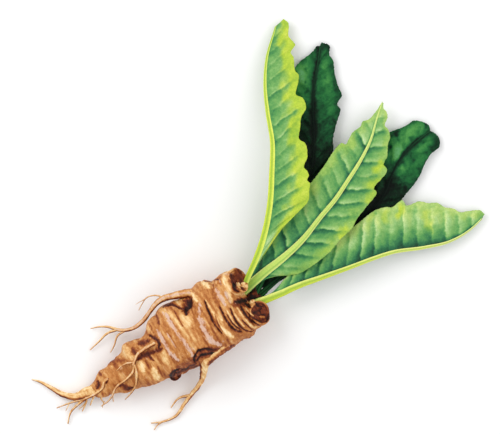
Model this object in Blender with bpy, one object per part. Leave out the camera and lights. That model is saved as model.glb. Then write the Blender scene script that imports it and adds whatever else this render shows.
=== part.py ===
"""A young horseradish plant lifted whole and laid on a surface: one root with its crown heads and
rootlets grown together, and five leaves whose stalks stand in plain holes in the crown.

Metres, +Z up. +X runs along the root from the tip of its tail to its crown, and the origin is the
bottom centre of the whole plant. The shapes are laid out in millimetres as (x along the root,
y across it, z up) about a point inside the root, and scaled and moved at the end."""

import math

import bmesh
import bpy
import numpy as np
from mathutils import Vector

MM = 0.001
BLADE = 0.9            # thickness of a leaf blade
HIDDEN_SHARE = 0.62    # width of a folded leaf's hidden half, as a share of its open half
BODY_SIDES = 28
BODY_STATIONS = 60
ROUNDNESS = 2.2        # exponent of the root's cross-section; 2 is an ellipse
SOCKET_DEPTH = 10.0    # how deep a stalk stands in the crown
SOCKET_GAP = 0.7       # clearance round a stalk in its hole
LEAST_CUT = 2.2        # least distance between two cuts across a leaf

# The root's outline: x, left edge y, right edge y, top z, bottom z
BODY = (
    (-112, 6.0, -0.5, 10, 4),
    (-106, 6.8, -7.5, 15, 2.5),
    (-100, 8.8, -11, 20, 1),
    (-90, 15.5, -12.5, 25, 0),
    (-80, 16, -17.5, 29, -0.5),
    (-70, 15.8, -20.3, 33, -1),
    (-63, 18, -21.8, 36, -1),
    (-57, 24.4, -24, 41, -1.5),
    (-48, 23.4, -26, 43, -1.5),
    (-38, 21.3, -27.5, 45, -1.5),
    (-31, 23, -32.5, 50, -1.5),
    (-24, 29.5, -33.5, 56, -1.5),
    (-14, 33, -32.4, 60, -1.5),
    (-4, 36.2, -35.2, 62.5, -1.5),
    (8, 34.5, -37, 62.5, -1.5),
    (20, 33.5, -36.2, 62, -1.5),
    (32, 36.2, -36.4, 62.5, -1.5),
    (42, 38, -35.4, 62.5, -1.5),
    (48, 36.5, -34.8, 61.5, -1.5),
    (54, 32.4, -36.6, 60, -1.5),
    (60, 29.8, -36, 57, -1),
    (66, 25, -31, 49, 2),
    (71, 16, -23, 40, 9),
    (74, 8, -13, 31, 17),
)

# Furrows round the root: x on the midline, depth, width, and lean (how far x grows per mm of -y)
FURROWS = (
    (-84, 0.8, 2.4, 0.0),
    (-72, 0.7, 2.4, 0.1),
    (-53, 0.6, 2.2, 0.0),
    (-45, 0.8, 2.4, 0.0),
    (-36, 0.9, 2.4, 0.0),
    (-22, 0.7, 2.3, 0.0),
    (-13, 1.0, 2.2, 0.0),
    (4, 1.0, 2.2, 0.0),
    (16, 1.2, 2.4, 0.05),
    (34, 2.0, 2.4, 0.0),
    (45, 1.7, 2.2, 0.1),
    (51, 1.7, 2.2, 0.15),
    (59, 1.6, 2.3, 0.2),
)

# Hollows on the upper side: x, y, half-length, half-width, depth
HOLLOWS = (
    (17, 27, 8, 6, 5.5),
    (-40, 14, 7, 3.5, 1.5),
    (66, -3, 9, 6, 6.0),
    (-14, -29, 12, 4, 2.0),
)

# Crown heads: base centre, end centre, full radius
HEADS = (
    ((54, 15.5, 28), (76.5, 18.2, 46.5), 15.8),
    ((59, -16.5, 17), (77, -21, 41), 14.4),
    ((54, -4, 14), (86.5, -4.5, 20), 9.8),
)

# Cut stump of a side root on the right flank: base centre, end centre, full radius
STUMP = ((-26, -20, 16), (-28.5, -29.5, 31.5), 6.8)

# Side roots: points along the middle, then the radius at the start, middle and tip
ROOTLETS = (
    # the long one that leaves the left flank, and its forks
    ([(33, 27, 36), (24, 34, 37), (10, 39, 37), (0, 42, 35), (-10, 40.5, 31), (-22, 35, 26),
      (-34, 32.5, 20), (-46, 34.5, 15), (-56, 41.5, 10)], 5.0, 2.2, 1.6, 8),
    ([(-53, 39, 11.5), (-60, 47, 9), (-67, 51.5, 6), (-76, 55, 3)], 1.6, 1.0, 0.5, 6),
    ([(-54, 40, 11), (-64, 42, 8), (-76, 39.5, 5), (-88, 37, 3)], 1.5, 1.0, 0.5, 6),
    ([(-47, 34.8, 14.5), (-57, 34.5, 10), (-65, 28, 6), (-72, 24, 4)], 1.2, 0.9, 0.5, 5),
    ([(3, 43, 36), (-3, 49, 36), (-12, 51.5, 34), (-18, 49, 31), (-25, 45, 28)], 0.9, 0.6, 0.4, 5),
    # the thick one that leaves the right flank and bends down off it, and its forks
    ([(30, -30, 41), (21, -31.5, 43), (11, -32, 42), (3.5, -34.5, 37), (-1, -39.5, 28),
      (-7, -46.5, 16), (-14, -51, 10), (-24, -54, 7), (-36, -58.5, 5), (-50, -64.5, 3.5),
      (-64, -62.5, 3), (-75, -57.5, 3)], 4.2, 2.9, 0.6, 8),
    ([(-27, -54.5, 6.5), (-38, -51, 5), (-50, -55, 3)], 1.6, 1.1, 0.5, 5),
    ([(-64, -62.5, 3), (-70, -62.5, 2.5), (-76, -65, 2)], 0.8, 0.6, 0.4, 5),
    # the one that lies on top of the root, and its forks
    ([(-24, 9, 47), (-30, 9, 49.5), (-40, 9.5, 45.5), (-48, 8.5, 44), (-54, 5, 43),
      (-58, 1.5, 42)], 1.9, 1.6, 1.5, 7),
    ([(-55, 3, 42.5), (-61, 6, 40.5), (-68, 7, 35.5), (-75, 5.5, 32.5)], 1.2, 0.9, 0.6, 5),
    ([(-56, 3, 42.5), (-62, -4, 39), (-70, -6.5, 34.5), (-84, -8, 29), (-94, -14, 21),
      (-100, -16, 15), (-108, -16.5, 9)], 1.4, 1.1, 0.5, 6),
    ([(-57, 2, 42.5), (-60, -7, 38.5), (-65, -15, 32), (-74, -20.5, 22), (-84, -23.5, 13)],
     1.4, 1.1, 0.5, 6),
    ([(-88, -10.5, 26.5), (-93, -15, 21), (-95, -19, 15)], 0.7, 0.5, 0.4, 5),
    # the bundle beside the tail
    ([(-86, 3, 21), (-90, 3.5, 25), (-97, -2, 20.5), (-105, -3, 15.5), (-118, -1.5, 10),
      (-130, 2, 7), (-147, 5.5, 3)], 1.6, 1.3, 0.5, 6),
    ([(-116, -1.5, 10), (-129, -3, 6), (-138, -6, 4), (-146, -14, 2.5)], 1.4, 1.1, 0.6, 6),
    ([(-115, -1, 10), (-120, -6, 6), (-127, -11, 3)], 1.2, 0.9, 0.5, 5),
    ([(-107, -3, 14), (-113, -7, 9), (-117, -10, 5)], 1.2, 0.8, 0.5, 5),
    ([(-98, -5, 14), (-104, -10, 10), (-104, -16, 6)], 1.2, 0.9, 0.5, 5),
    # the tail itself
    ([(-92, 2, 11), (-104, 0, 10), (-112, 2.5, 8.5), (-124, 4.5, 7), (-133, 12, 5.5),
      (-142, 27, 4), (-147, 36, 3.5), (-153, 43, 3)], 7.5, 3.3, 0.6, 9),
)

# Raised scars round the feet of side roots, as ridges along the upper side: x and y
SCARS = (
    [(-7, -30), (-2, -25.5), (6, -22.5), (14, -24), (21, -30)],
    [(-30, 19), (-25.5, 15), (-24, 9), (-26, 4), (-32, 1.5)],
)

# Leaves. rib: points along the midrib; width: of the midrib at five places from foot to tip; left
# and right: the toothed edge on each side of the midrib from foot to tip; veins: how many pleats;
# sweep: how far a pleat runs towards the tip by the leaf's edge, in pleats. A folded leaf has one
# open half, and its other half turned under it.
LEAVES = {
    "leaf_front_left": dict(
        rib=[(80, 12, 40.5), (87, 16.8, 42.5), (100, 25.5, 46.5), (120, 41.7, 50), (140, 63, 51),
             (160, 90.7, 47.5), (177, 117, 41), (188, 143, 33), (201, 169, 26), (216, 190, 19),
             (241, 213, 10)],
        width=(5.0, 6.2, 5.6, 3.8, 1.4),
        right=[(90, 16), (102, 22), (120, 30), (140, 38.5), (160, 43.5), (177, 48.5), (183, 57),
               (187, 62), (186, 66), (190, 69), (191, 74), (190, 78), (199, 86), (204, 98),
               (201, 105), (208, 114), (214, 122), (224, 128), (226, 138), (222, 144),
               (231, 154), (235, 160), (234, 164), (240, 178), (240, 183), (248, 187),
               (247, 198), (254, 210), (252, 215.5)],
        folded=1, slope=-0.12, veins=18, sweep=0.75, lean=1.12),
    "leaf_front_middle": dict(
        rib=[(79, 7, 29.5), (86, 8.2, 31.5), (105, 11, 36), (120, 12.5, 38.5), (150, 18, 38.5),
             (180, 28.5, 34), (200, 35, 31), (220, 44, 28), (240, 53.5, 25), (260, 65.5, 22),
             (280, 83, 18), (291, 92, 15)],
        width=(9.5, 8.4, 5.0, 3.6, 1.0),
        left=[(88, 15), (104, 24), (118, 32.5), (134, 42), (152, 50), (170, 57), (190, 62.5),
              (210, 70), (224, 76.5), (236, 79), (237, 76.5), (250, 82.5), (260, 83.5),
              (265, 86.5), (270, 85), (280, 87.5), (292, 93)],
        right=[(92, 5), (104, 4), (112, 0), (119, -4), (130, -8.5), (150, -8.8), (168, -6.5),
               (185, -1), (200, 2), (206, 6), (220, 11.5), (236, 17), (239, 19), (238, 23),
               (252, 28.5), (259, 31.5), (260, 35), (259, 38), (267, 44), (274, 54), (279, 58),
               (282, 66), (281, 71), (288, 77), (290, 82), (289, 86), (292, 91)],
        folded=0, slope=-0.1, veins=15, sweep=0.0, lean=1.15),
    "leaf_front_right": dict(
        rib=[(79, -11.5, 32.5), (86, -12.6, 33), (105, -16, 33), (120, -18, 32.3),
             (150, -24.5, 30.8), (180, -31, 29), (200, -35, 26.5), (220, -40, 23),
             (250, -53, 17.5), (275, -61.5, 13), (298, -62.5, 9.5), (314, -59.5, 8)],
        width=(6.8, 5.6, 4.4, 3.4, 1.4),
        left=[(92, -11), (104, -9), (119, -4.5), (138, -2), (160, -1), (185, 1), (205, 2.5),
              (229, 4.5), (240, 1), (243, -1.5), (257, -1.5), (257, -7.5), (271, -11.5),
              (277, -17.5), (285, -22), (289, -30), (296, -36), (299, -42), (308, -46),
              (318, -52), (319, -57)],
        folded=-1, slope=-0.15, veins=17, sweep=-0.1, lean=1.12),
    "leaf_back_left": dict(
        rib=[(88, 1, 22), (100, 8, 21.5), (130, 22, 20), (160, 40, 18), (190, 67, 15.5),
             (203, 82, 14), (217, 103, 12), (228, 122, 10.5), (240, 140, 9), (258, 160, 7),
             (268, 172, 6)],
        width=(4.4, 3.8, 3.0, 2.2, 1.2),
        left=[(95, 9), (130, 25), (160, 44), (180, 64), (188, 80), (196, 100), (206, 120),
              (216, 138), (226, 155), (236, 168), (246, 171), (258, 172), (266, 175)],
        right=[(95, 3.5), (130, 18), (160, 36), (186, 60.5), (200, 65.5), (214, 70.5),
               (224, 77), (230, 87), (243, 100), (252.5, 109), (252, 114), (261, 119.5),
               (263, 131), (267, 143), (272, 154), (272, 161), (277, 168), (272, 175.5)],
        folded=0, slope=-0.05, veins=16, sweep=0.35, lean=1.1),
    "leaf_back_right": dict(
        rib=[(88, -6, 17), (100, -4, 16.5), (119, -1.5, 16), (150, 1, 15), (180, 3, 13.5),
             (206, 5, 12), (228, 8, 11), (245, 14, 10), (260, 25, 9.5), (275, 34, 9),
             (295, 40, 7.5), (317, 43, 6)],
        width=(4.4, 3.8, 3.0, 2.2, 1.2),
        left=[(91, -1), (105, 4), (119, 5), (150, 6), (180, 8), (200, 17), (220, 31), (245, 48),
              (266, 59), (281, 63), (298, 60), (309, 60), (315, 55), (319, 48), (318, 44.5)],
        right=[(92, -8.6), (104, -7.5), (119, -7), (150, -4), (180, -1.5), (206, -4), (225, -7),
               (245, -4.5), (262, 1.5), (277, 6.5), (286, 11), (295, 17.5), (305, 22.5),
               (317, 24.5), (321, 31), (320, 38), (317.5, 42)],
        folded=0, slope=-0.04, veins=14, sweep=0.35, lean=1.1),
}

ROOT_COLOR = (0.62, 0.34, 0.13, 1)
BRIGHT_LEAF = (0.24, 0.46, 0.12, 1)
DARK_LEAF = (0.03, 0.16, 0.06, 1)
COLUMNS = (0.5, 1.0)    # places across half a blade, as shares from rib to edge
PLEAT = 1.0             # half the height of a pleat halfway across the blade
PLEAT_PHASE = 0.12      # where the first pleat begins, in pleats


def along(points, shares):
    """Points at these shares of the length of a smooth curve through the given ones."""
    p = np.array(points, float)
    knots = np.concatenate([[0], np.cumsum(np.linalg.norm(np.diff(p, axis=0), axis=1))])
    knots /= knots[-1]
    slope = np.gradient(p, knots, axis=0)
    i = np.clip(np.searchsorted(knots, shares, side="right") - 1, 0, len(p) - 2)
    h = (knots[i + 1] - knots[i])[:, None]
    s = (shares - knots[i])[:, None] / h
    start = (1 + 2 * s) * (1 - s) ** 2 * p[i] + s * (1 - s) ** 2 * h * slope[i]
    end = s * s * (3 - 2 * s) * p[i + 1] + s * s * (s - 1) * h * slope[i + 1]
    return start + end


def make_material(name, color, roughness):
    material = bpy.data.materials.new(name)
    material.use_nodes = True
    shader = material.node_tree.nodes["Principled BSDF"]
    shader.inputs["Base Color"].default_value = color
    shader.inputs["Roughness"].default_value = roughness
    material.diffuse_color = color
    return material


def make_object(name, points, faces, collection=None):
    """A mesh object from points in millimetres, its faces turned outwards."""
    mesh = bpy.data.meshes.new(name)
    mesh.from_pydata((np.asarray(points) * MM).tolist(), [], faces)
    shape = bmesh.new()
    shape.from_mesh(mesh)
    bmesh.ops.recalc_face_normals(shape, faces=shape.faces)
    if shape.calc_volume(signed=True) < 0:
        bmesh.ops.reverse_faces(shape, faces=shape.faces)
    shape.to_mesh(mesh)
    shape.free()
    made = bpy.data.objects.new(name, mesh)
    (collection or bpy.context.scene.collection).objects.link(made)
    return made


def loft(rings):
    """Points and triangles of a closed skin over rings of equal count, with a fan at each end."""
    count, sides = rings.shape[:2]
    points = np.concatenate([rings.reshape(-1, 3), rings[:1].mean(axis=1), rings[-1:].mean(axis=1)])
    faces = []
    for i in range(count - 1):
        for j in range(sides):
            k = (j + 1) % sides
            a, b = i * sides + j, i * sides + k
            faces += [(a, b, b + sides), (a, b + sides, a + sides)]
    first, last = count * sides, count * sides + 1
    tip = (count - 1) * sides
    for j in range(sides):
        k = (j + 1) % sides
        faces += [(first, k, j), (last, tip + j, tip + k)]
    return points, faces


def tube_rings(path, radii, sides):
    """Circles square to a path, carried along it without twist."""
    forward = np.gradient(path, axis=0)
    forward /= np.linalg.norm(forward, axis=1)[:, None]
    across = np.cross(forward, (0, 0, 1.0))
    across /= np.linalg.norm(across, axis=1)[:, None]
    up = np.cross(across, forward)
    turn = np.linspace(0, 2 * np.pi, sides, endpoint=False)[None, :, None]
    circle = across[:, None] * np.cos(turn) + up[:, None] * np.sin(turn)
    return path[:, None] + circle * np.asarray(radii)[:, None, None]


def make_rootlet(name, points, start, middle, tip, sides, collection):
    length = sum(math.dist(a, b) for a, b in zip(points, points[1:]))
    shares = np.linspace(0, 1, max(4, round(length / 5.5)))
    path = along(points, shares)
    radii = np.interp(shares, (0, 0.5, 1), (start, middle, tip))
    return make_object(name, *loft(tube_rings(path, radii, sides)), collection)


def body_section(x):
    """Middle y, middle z, half-width and half-height of the root at x."""
    rows = np.array(BODY, float)
    shares = np.linspace(0, 1, 400)
    fine = along(rows, shares)
    left, right, top, bottom = (np.interp(x, fine[:, 0], fine[:, i]) for i in (1, 2, 3, 4))
    return (left + right) / 2, (top + bottom) / 2, (left - right) / 2, (top - bottom) / 2


def body_top(x, y):
    """Height of the plain root's upper side at (x, y), before furrows and hollows."""
    y_mid, z_mid, half_width, half_height = body_section(x)
    out = np.clip(np.abs((y - y_mid) / half_width), 0, 0.97)
    return z_mid + half_height * (1 - out ** ROUNDNESS) ** (1 / ROUNDNESS)


def relief(x, y, turn, is_top):
    """How far the root's skin stands out at each point: furrows, hollows and soft lumps."""
    phases = np.random.default_rng(7).uniform(0, 2 * np.pi, (len(FURROWS) + 6, 2))
    out = np.zeros_like(x)
    for (at, depth, width, lean), (phase, _) in zip(FURROWS, phases):
        share = 0.7 + 0.3 * np.cos(turn - phase)
        out -= depth * share * np.exp(-(((x - at + lean * y) / width) ** 2))
    for at, side, length, width, depth in HOLLOWS:
        out -= depth * is_top * np.exp(-(((x - at) / length) ** 2) - ((y - side) / width) ** 2)
    for n, (phase, drift) in enumerate(phases[len(FURROWS):]):
        out += 0.45 * np.sin(x * (0.05 + 0.045 * n) + phase + (n % 3 + 1) * turn + drift)
    return out


def make_body(collection):
    x = np.linspace(BODY[0][0], BODY[-1][0], BODY_STATIONS)[:, None]
    turn = np.linspace(0, 2 * np.pi, BODY_SIDES, endpoint=False)[None, :]
    y_mid, z_mid, half_width, half_height = body_section(x)
    power = 2 / ROUNDNESS
    y_out = np.sign(np.cos(turn)) * np.abs(np.cos(turn)) ** power
    z_out = np.sign(np.sin(turn)) * np.abs(np.sin(turn)) ** power
    fade = np.clip(half_width / 12, 0, 1)
    out = relief(x + 0 * turn, y_mid + half_width * y_out, turn + 0 * x, z_out > 0) * fade
    y = y_mid + (half_width + out) * y_out
    z = z_mid + (half_height + out) * z_out
    rings = np.stack([x + 0 * y, y, np.maximum(z, 0)], axis=2)
    return make_object("body", *loft(rings), collection)


def make_dished_stub(name, base, end, radius, collection, sides=16):
    """A stout ringed stub with a stepped dish in its end, like a lathe turning a little out of true."""
    base, end = np.array(base, float), np.array(end, float)
    length = np.linalg.norm(end - base)
    # shares of the length, and radii as shares of the full one: up the side, rim, down the dish
    profile = ((0, 0.6), (0.3, 0.96), (0.42, 1.0), (0.5, 0.95), (0.6, 0.99), (0.7, 0.93), (0.8, 0.94),
               (0.9, 0.86), (0.97, 0.83), (1.0, 0.76), (1.0, 0.68), (0.96, 0.6), (0.965, 0.48),
               (0.92, 0.4), (0.925, 0.3), (0.89, 0.22), (0.895, 0.08))
    forward = (end - base) / length
    across = np.cross(forward, (0, 0, 1.0))
    across /= np.linalg.norm(across)
    up = np.cross(across, forward)
    turn = np.linspace(0, 2 * np.pi, sides, endpoint=False)[:, None]
    circle = across * np.cos(turn) + up * np.sin(turn)
    wobble = 1 + 0.05 * np.sin(3 * turn + length) + 0.03 * np.sin(5 * turn + radius)
    rings = np.array([base + forward * length * s + circle * radius * r * wobble for s, r in profile])
    return make_object(name, *loft(rings), collection)


def make_scar(name, outline, collection):
    points = [(x, y, float(body_top(x, y))) for x, y in outline]
    return make_rootlet(name, points, 0.9, 1.3, 0.8, 6, collection)


def stalk_foot(rib):
    """The bottom of a stalk's hole, straight back from where the leaf leaves the crown."""
    first, second = np.array(rib[0], float), np.array(rib[1], float)
    return first - (second - first) / np.linalg.norm(second - first) * SOCKET_DEPTH


def make_socket(name, leaf, collection):
    foot = stalk_foot(leaf["rib"])
    mouth = np.array(leaf["rib"][0], float)
    forward = (mouth - foot) / np.linalg.norm(mouth - foot)
    path = foot + forward * np.linspace(-2.6, SOCKET_DEPTH + 8, 3)[:, None]
    path[:, 2] -= 0.16 * leaf["width"][0]
    radius = leaf["width"][0] / 2 + 0.6 + SOCKET_GAP
    return make_object(name, *loft(tube_rings(path, [radius] * 3, 14)), collection)


def join(base, collection, operation, solver):
    """Applies one Boolean with everything in the collection, then removes what is in it."""
    cut = base.modifiers.new(operation.title(), "BOOLEAN")
    cut.operation = operation
    cut.operand_type = "COLLECTION"
    cut.collection = collection
    cut.solver = solver
    bpy.context.view_layer.update()
    graph = bpy.context.evaluated_depsgraph_get()
    mesh = bpy.data.meshes.new_from_object(base.evaluated_get(graph))
    base.modifiers.clear()
    base.data = mesh
    for piece in list(collection.objects):
        bpy.data.objects.remove(piece)
    bpy.data.collections.remove(collection)


def new_collection(name):
    collection = bpy.data.collections.new(name)
    bpy.context.scene.collection.children.link(collection)
    return collection


def make_root():
    root = make_body(None)
    grown = new_collection("grown_on_root")
    for n, (base, end, radius) in enumerate(HEADS):
        make_dished_stub(f"head_{n}", base, end, radius, grown)
    make_dished_stub("stump", *STUMP, grown, sides=12)
    for n, rootlet in enumerate(ROOTLETS):
        make_rootlet(f"rootlet_{n}", *rootlet, grown)
    for n, outline in enumerate(SCARS):
        make_scar(f"scar_{n}", outline, grown)
    join(root, grown, "UNION", "MANIFOLD")
    sockets = new_collection("stalk_holes")
    for name, leaf in LEAVES.items():
        make_socket(f"hole_{name}", leaf, sockets)
    join(root, sockets, "DIFFERENCE", "MANIFOLD")
    root.name = root.data.name = "root"
    root.data.materials.append(make_material("root_skin", ROOT_COLOR, 0.7))
    return root


def cut_shares(leaf, start):
    """Shares of the edge's length at which a leaf is cut across: the crest and trough of each
    pleat, and every corner of its edges."""
    crests = (np.arange(2 * leaf["veins"]) / 2 + 0.25 + PLEAT_PHASE + leaf["sweep"] / 2) / leaf["veins"]
    crests = crests[(crests > start + 0.01) & (crests < 0.995)]
    shares = list(((crests - start) / (1 - start)) ** (1 / leaf["lean"]))
    longest = 0
    for side in ("left", "right"):
        if side in leaf:
            steps = np.cumsum(np.linalg.norm(np.diff(np.array(leaf[side], float), axis=0), axis=1))
            longest = max(longest, steps[-1])
            shares += list(steps / steps[-1])
    kept = [0.0]
    for share in sorted(shares):
        if (share - kept[-1]) * longest > LEAST_CUT:
            kept.append(share)
    kept[-1] = 1.0
    return np.array(kept)


def edge_points(edge, shares):
    """Points at these shares of the length of a straight-sided edge."""
    p = np.array(edge, float)
    knots = np.concatenate([[0], np.cumsum(np.linalg.norm(np.diff(p, axis=0), axis=1))])
    return np.stack([np.interp(shares, knots / knots[-1], p[:, i]) for i in (0, 1)], axis=1)


def leaf_columns(leaf):
    """Points across the leaf at each cut, as two grids: its upper face and its lower face."""
    foot = stalk_foot(leaf["rib"])
    rib_points = [tuple(foot), *leaf["rib"]]
    # the stalk from its foot to where the blade starts, then the blade
    length = sum(math.dist(a, b) for a, b in zip(rib_points, rib_points[1:]))
    start = (SOCKET_DEPTH + 6) / length
    blade_shares = cut_shares(leaf, start)
    stalk = np.array([0, 0.35, 0.7]) * start
    shares = np.concatenate([stalk, start + (1 - start) * blade_shares ** leaf["lean"]])
    rib = along(rib_points, shares)
    ahead = along(rib_points, np.clip(shares + 0.01, 0, 1))
    forward = (ahead - along(rib_points, np.clip(shares - 0.01, 0, 1)))[:, :2]
    forward /= np.linalg.norm(forward, axis=1)[:, None]
    left_way = np.stack([-forward[:, 1], forward[:, 0]], axis=1)
    width = np.interp(shares, (0, 0.15, 0.4, 0.7, 1), leaf["width"])
    grids = {}
    for side, way in (("left", 1), ("right", -1)):
        other = "right" if side == "left" else "left"
        edge = edge_points(leaf[side if side in leaf else other], blade_shares)
        grids[side] = half_blade(leaf, side, way, rib, left_way, width, shares, edge)
    top_rib = rib + np.stack([0 * width, 0 * width, 0.12 * width], axis=1)
    low_rib = rib - np.stack([0 * width, 0 * width, 0.5 * width + BLADE], axis=1)
    if leaf["folded"]:
        turned = left_way * leaf["folded"]
        top_rib = rib + np.column_stack([turned * 0.5 * width[:, None], -0.15 * width])
        inner = np.maximum(0.6 * width, 2.8) / 2
        low_rib = rib - np.column_stack([turned * 0.5 * width[:, None], inner])
    left, right = grids["left"], grids["right"]
    top = np.concatenate([left[0][:, ::-1], top_rib[:, None], right[0]], axis=1)
    low = np.concatenate([left[1][:, ::-1], low_rib[:, None], right[1]], axis=1)
    return top, low


def half_blade(leaf, side, way, rib, left_way, width, shares, edge):
    """Upper and lower points from the rib's edge to the leaf's edge on one side."""
    hidden = side not in leaf
    stalk_count = len(shares) - len(edge)
    facing = -way if hidden else way
    wing = rib[:, :2] + left_way * (facing * (width / 2 + 0.5))[:, None]
    rim = np.concatenate([wing[:stalk_count], edge])
    reach = (rim - rib[:, :2]) * (HIDDEN_SHARE if hidden else 1.0)
    span = np.linalg.norm(reach, axis=1)
    depth = np.maximum(0.6 * width, 2.8)
    start = rib[:, :2] + left_way * (way * width * (0.36 if hidden else 0.5))[:, None]
    columns = [(start, rib[:, 2] - (depth if hidden else 0))]
    room = np.maximum(rib[:, 2] - depth - 1.6, 0)
    fall = np.minimum(0.42 * span, room) * np.clip((span - 4) / 8, 0, 1) if hidden else 0
    for share in COLUMNS:
        middle = 4 * share * (1 - share)
        turns = leaf["veins"] * shares - leaf["sweep"] * share - PLEAT_PHASE
        pleat = PLEAT * (0.3 + 0.7 * middle) * np.sin(2 * np.pi * turns) * np.clip(span / 15, 0, 1)
        wave = 1.1 * share ** 2 * np.sin(2 * np.pi * (leaf["veins"] * 0.37 * shares + way * 0.2))
        level = rib[:, 2] + leaf["slope"] * span * share ** 1.5 + wave * np.clip(span / 25, 0, 1)
        if hidden:
            level = rib[:, 2] - depth - fall * share
            pleat = pleat * 0.4
        place = start + (rib[:, :2] + reach - start) * share
        columns.append((place, level + pleat))
    upper = np.stack([np.column_stack(column) for column in columns], axis=1)
    lower = upper.copy()
    lower[:, :, 2] += BLADE if hidden else -BLADE
    return upper, lower


def make_leaf(name, leaf, material):
    top, low = leaf_columns(leaf)
    rows, columns = top.shape[:2]
    points = np.concatenate([top.reshape(-1, 3), low.reshape(-1, 3)])
    under = rows * columns
    faces = []
    for i in range(rows - 1):
        for j in range(columns - 1):
            a = i * columns + j
            b, c, d = a + 1, a + columns + 1, a + columns
            faces += [(a, b, c), (a, c, d)]
            faces += [(a + under, c + under, b + under), (a + under, d + under, c + under)]
        for j in (0, columns - 1):
            a, d = i * columns + j, (i + 1) * columns + j
            faces += [(a, d, d + under), (a, d + under, a + under)]
    for i in (0, rows - 1):
        for j in range(columns - 1):
            a = i * columns + j
            faces += [(a, a + 1, a + 1 + under), (a, a + 1 + under, a + under)]
    made = make_object(name, points, faces)
    made.data.materials.append(material)
    made.data.shade_smooth()
    return made


def stand_on_origin(pieces):
    """Moves the plant so that the origin is the bottom centre of the box round it."""
    corners = np.array([v.co[:] for piece in pieces for v in piece.data.vertices])
    low, high = corners.min(axis=0), corners.max(axis=0)
    centre = Vector(((low[0] + high[0]) / 2, (low[1] + high[1]) / 2, low[2]))
    for piece in pieces:
        piece.location = -centre


def main():
    for old in list(bpy.data.objects):
        bpy.data.objects.remove(old)
    pieces = [make_root()]
    for name, leaf in LEAVES.items():
        color = DARK_LEAF if "back" in name else BRIGHT_LEAF
        pieces.append(make_leaf(name, leaf, make_material(name, color, 0.5)))
    stand_on_origin(pieces)


main()
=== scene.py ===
import math

import bpy
import numpy as np
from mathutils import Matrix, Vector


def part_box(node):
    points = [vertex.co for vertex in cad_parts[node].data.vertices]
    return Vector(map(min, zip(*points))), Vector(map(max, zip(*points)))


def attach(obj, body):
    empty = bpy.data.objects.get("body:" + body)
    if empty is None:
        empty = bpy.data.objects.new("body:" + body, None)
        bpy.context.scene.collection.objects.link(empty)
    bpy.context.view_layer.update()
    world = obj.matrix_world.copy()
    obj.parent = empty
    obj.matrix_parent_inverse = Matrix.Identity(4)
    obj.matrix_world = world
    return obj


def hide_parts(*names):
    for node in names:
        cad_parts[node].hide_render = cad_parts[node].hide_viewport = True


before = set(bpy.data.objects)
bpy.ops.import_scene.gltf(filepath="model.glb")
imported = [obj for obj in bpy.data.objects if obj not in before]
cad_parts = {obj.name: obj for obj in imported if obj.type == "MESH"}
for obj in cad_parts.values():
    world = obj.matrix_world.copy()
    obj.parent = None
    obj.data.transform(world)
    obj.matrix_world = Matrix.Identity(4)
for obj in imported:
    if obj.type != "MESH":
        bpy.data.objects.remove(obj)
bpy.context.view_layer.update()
mm = 0.001
twoPi = 2 * math.pi

# The plant is laid out in millimetres about a point inside the root, as x along it, y across
# and z up. planCorner is the root's lowest x and y there, so the frame's root gives the shift.
planCorner = (-153.43, -66.01)
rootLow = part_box("root")[0]
shift = np.array([rootLow.x / mm - planCorner[0], rootLow.y / mm - planCorner[1], 0.0])


def hexColor(text):
    # a colour written as six hex digits, turned into linear light
    parts = np.array([int(text[i:i + 2], 16) for i in (0, 2, 4)]) / 255
    linear = np.where(parts <= 0.04045, parts / 12.92, ((parts + 0.055) / 1.055) ** 2.4)
    return (*linear.tolist(), 1.0)


def smoothStep(low, high, x):
    # 0 below low, 1 above high, and an even S between them
    t = np.clip((x - low) / (high - low), 0, 1)
    return t * t * (3 - 2 * t)


def bump(x, centre, width):
    # 1 at the centre, falling off like a bell
    return np.exp(-(((x - centre) / width) ** 2))


def curveThrough(points, shares):
    # a smooth curve through the points: cubic pieces whose slopes are the slopes from point
    # to point, read at shares of its length
    p = np.array(points, float)
    knots = np.concatenate([[0], np.cumsum(np.linalg.norm(np.diff(p, axis=0), axis=1))])
    knots /= knots[-1]
    slope = np.gradient(p, knots, axis=0)
    i = np.clip(np.searchsorted(knots, shares, side="right") - 1, 0, len(p) - 2)
    h = (knots[i + 1] - knots[i])[:, None]
    s = (shares - knots[i])[:, None] / h
    start = (1 + 2 * s) * (1 - s) ** 2 * p[i] + s * (1 - s) ** 2 * h * slope[i]
    end = s * s * (3 - 2 * s) * p[i + 1] + s * s * (s - 1) * h * slope[i + 1]
    return start + end


def mottle(x, y, z, size, seed):
    # soft even noise of about unit range: the mean of sine waves in random directions
    random = np.random.default_rng(seed)
    total = 0
    for wave in range(7):
        way = random.normal(size=3)
        way *= twoPi / size / np.linalg.norm(way) * random.uniform(0.6, 1.6)
        total = total + np.sin(x * way[0] + y * way[1] + z * way[2] + random.uniform(0, twoPi))
    return total / 3.5


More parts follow.
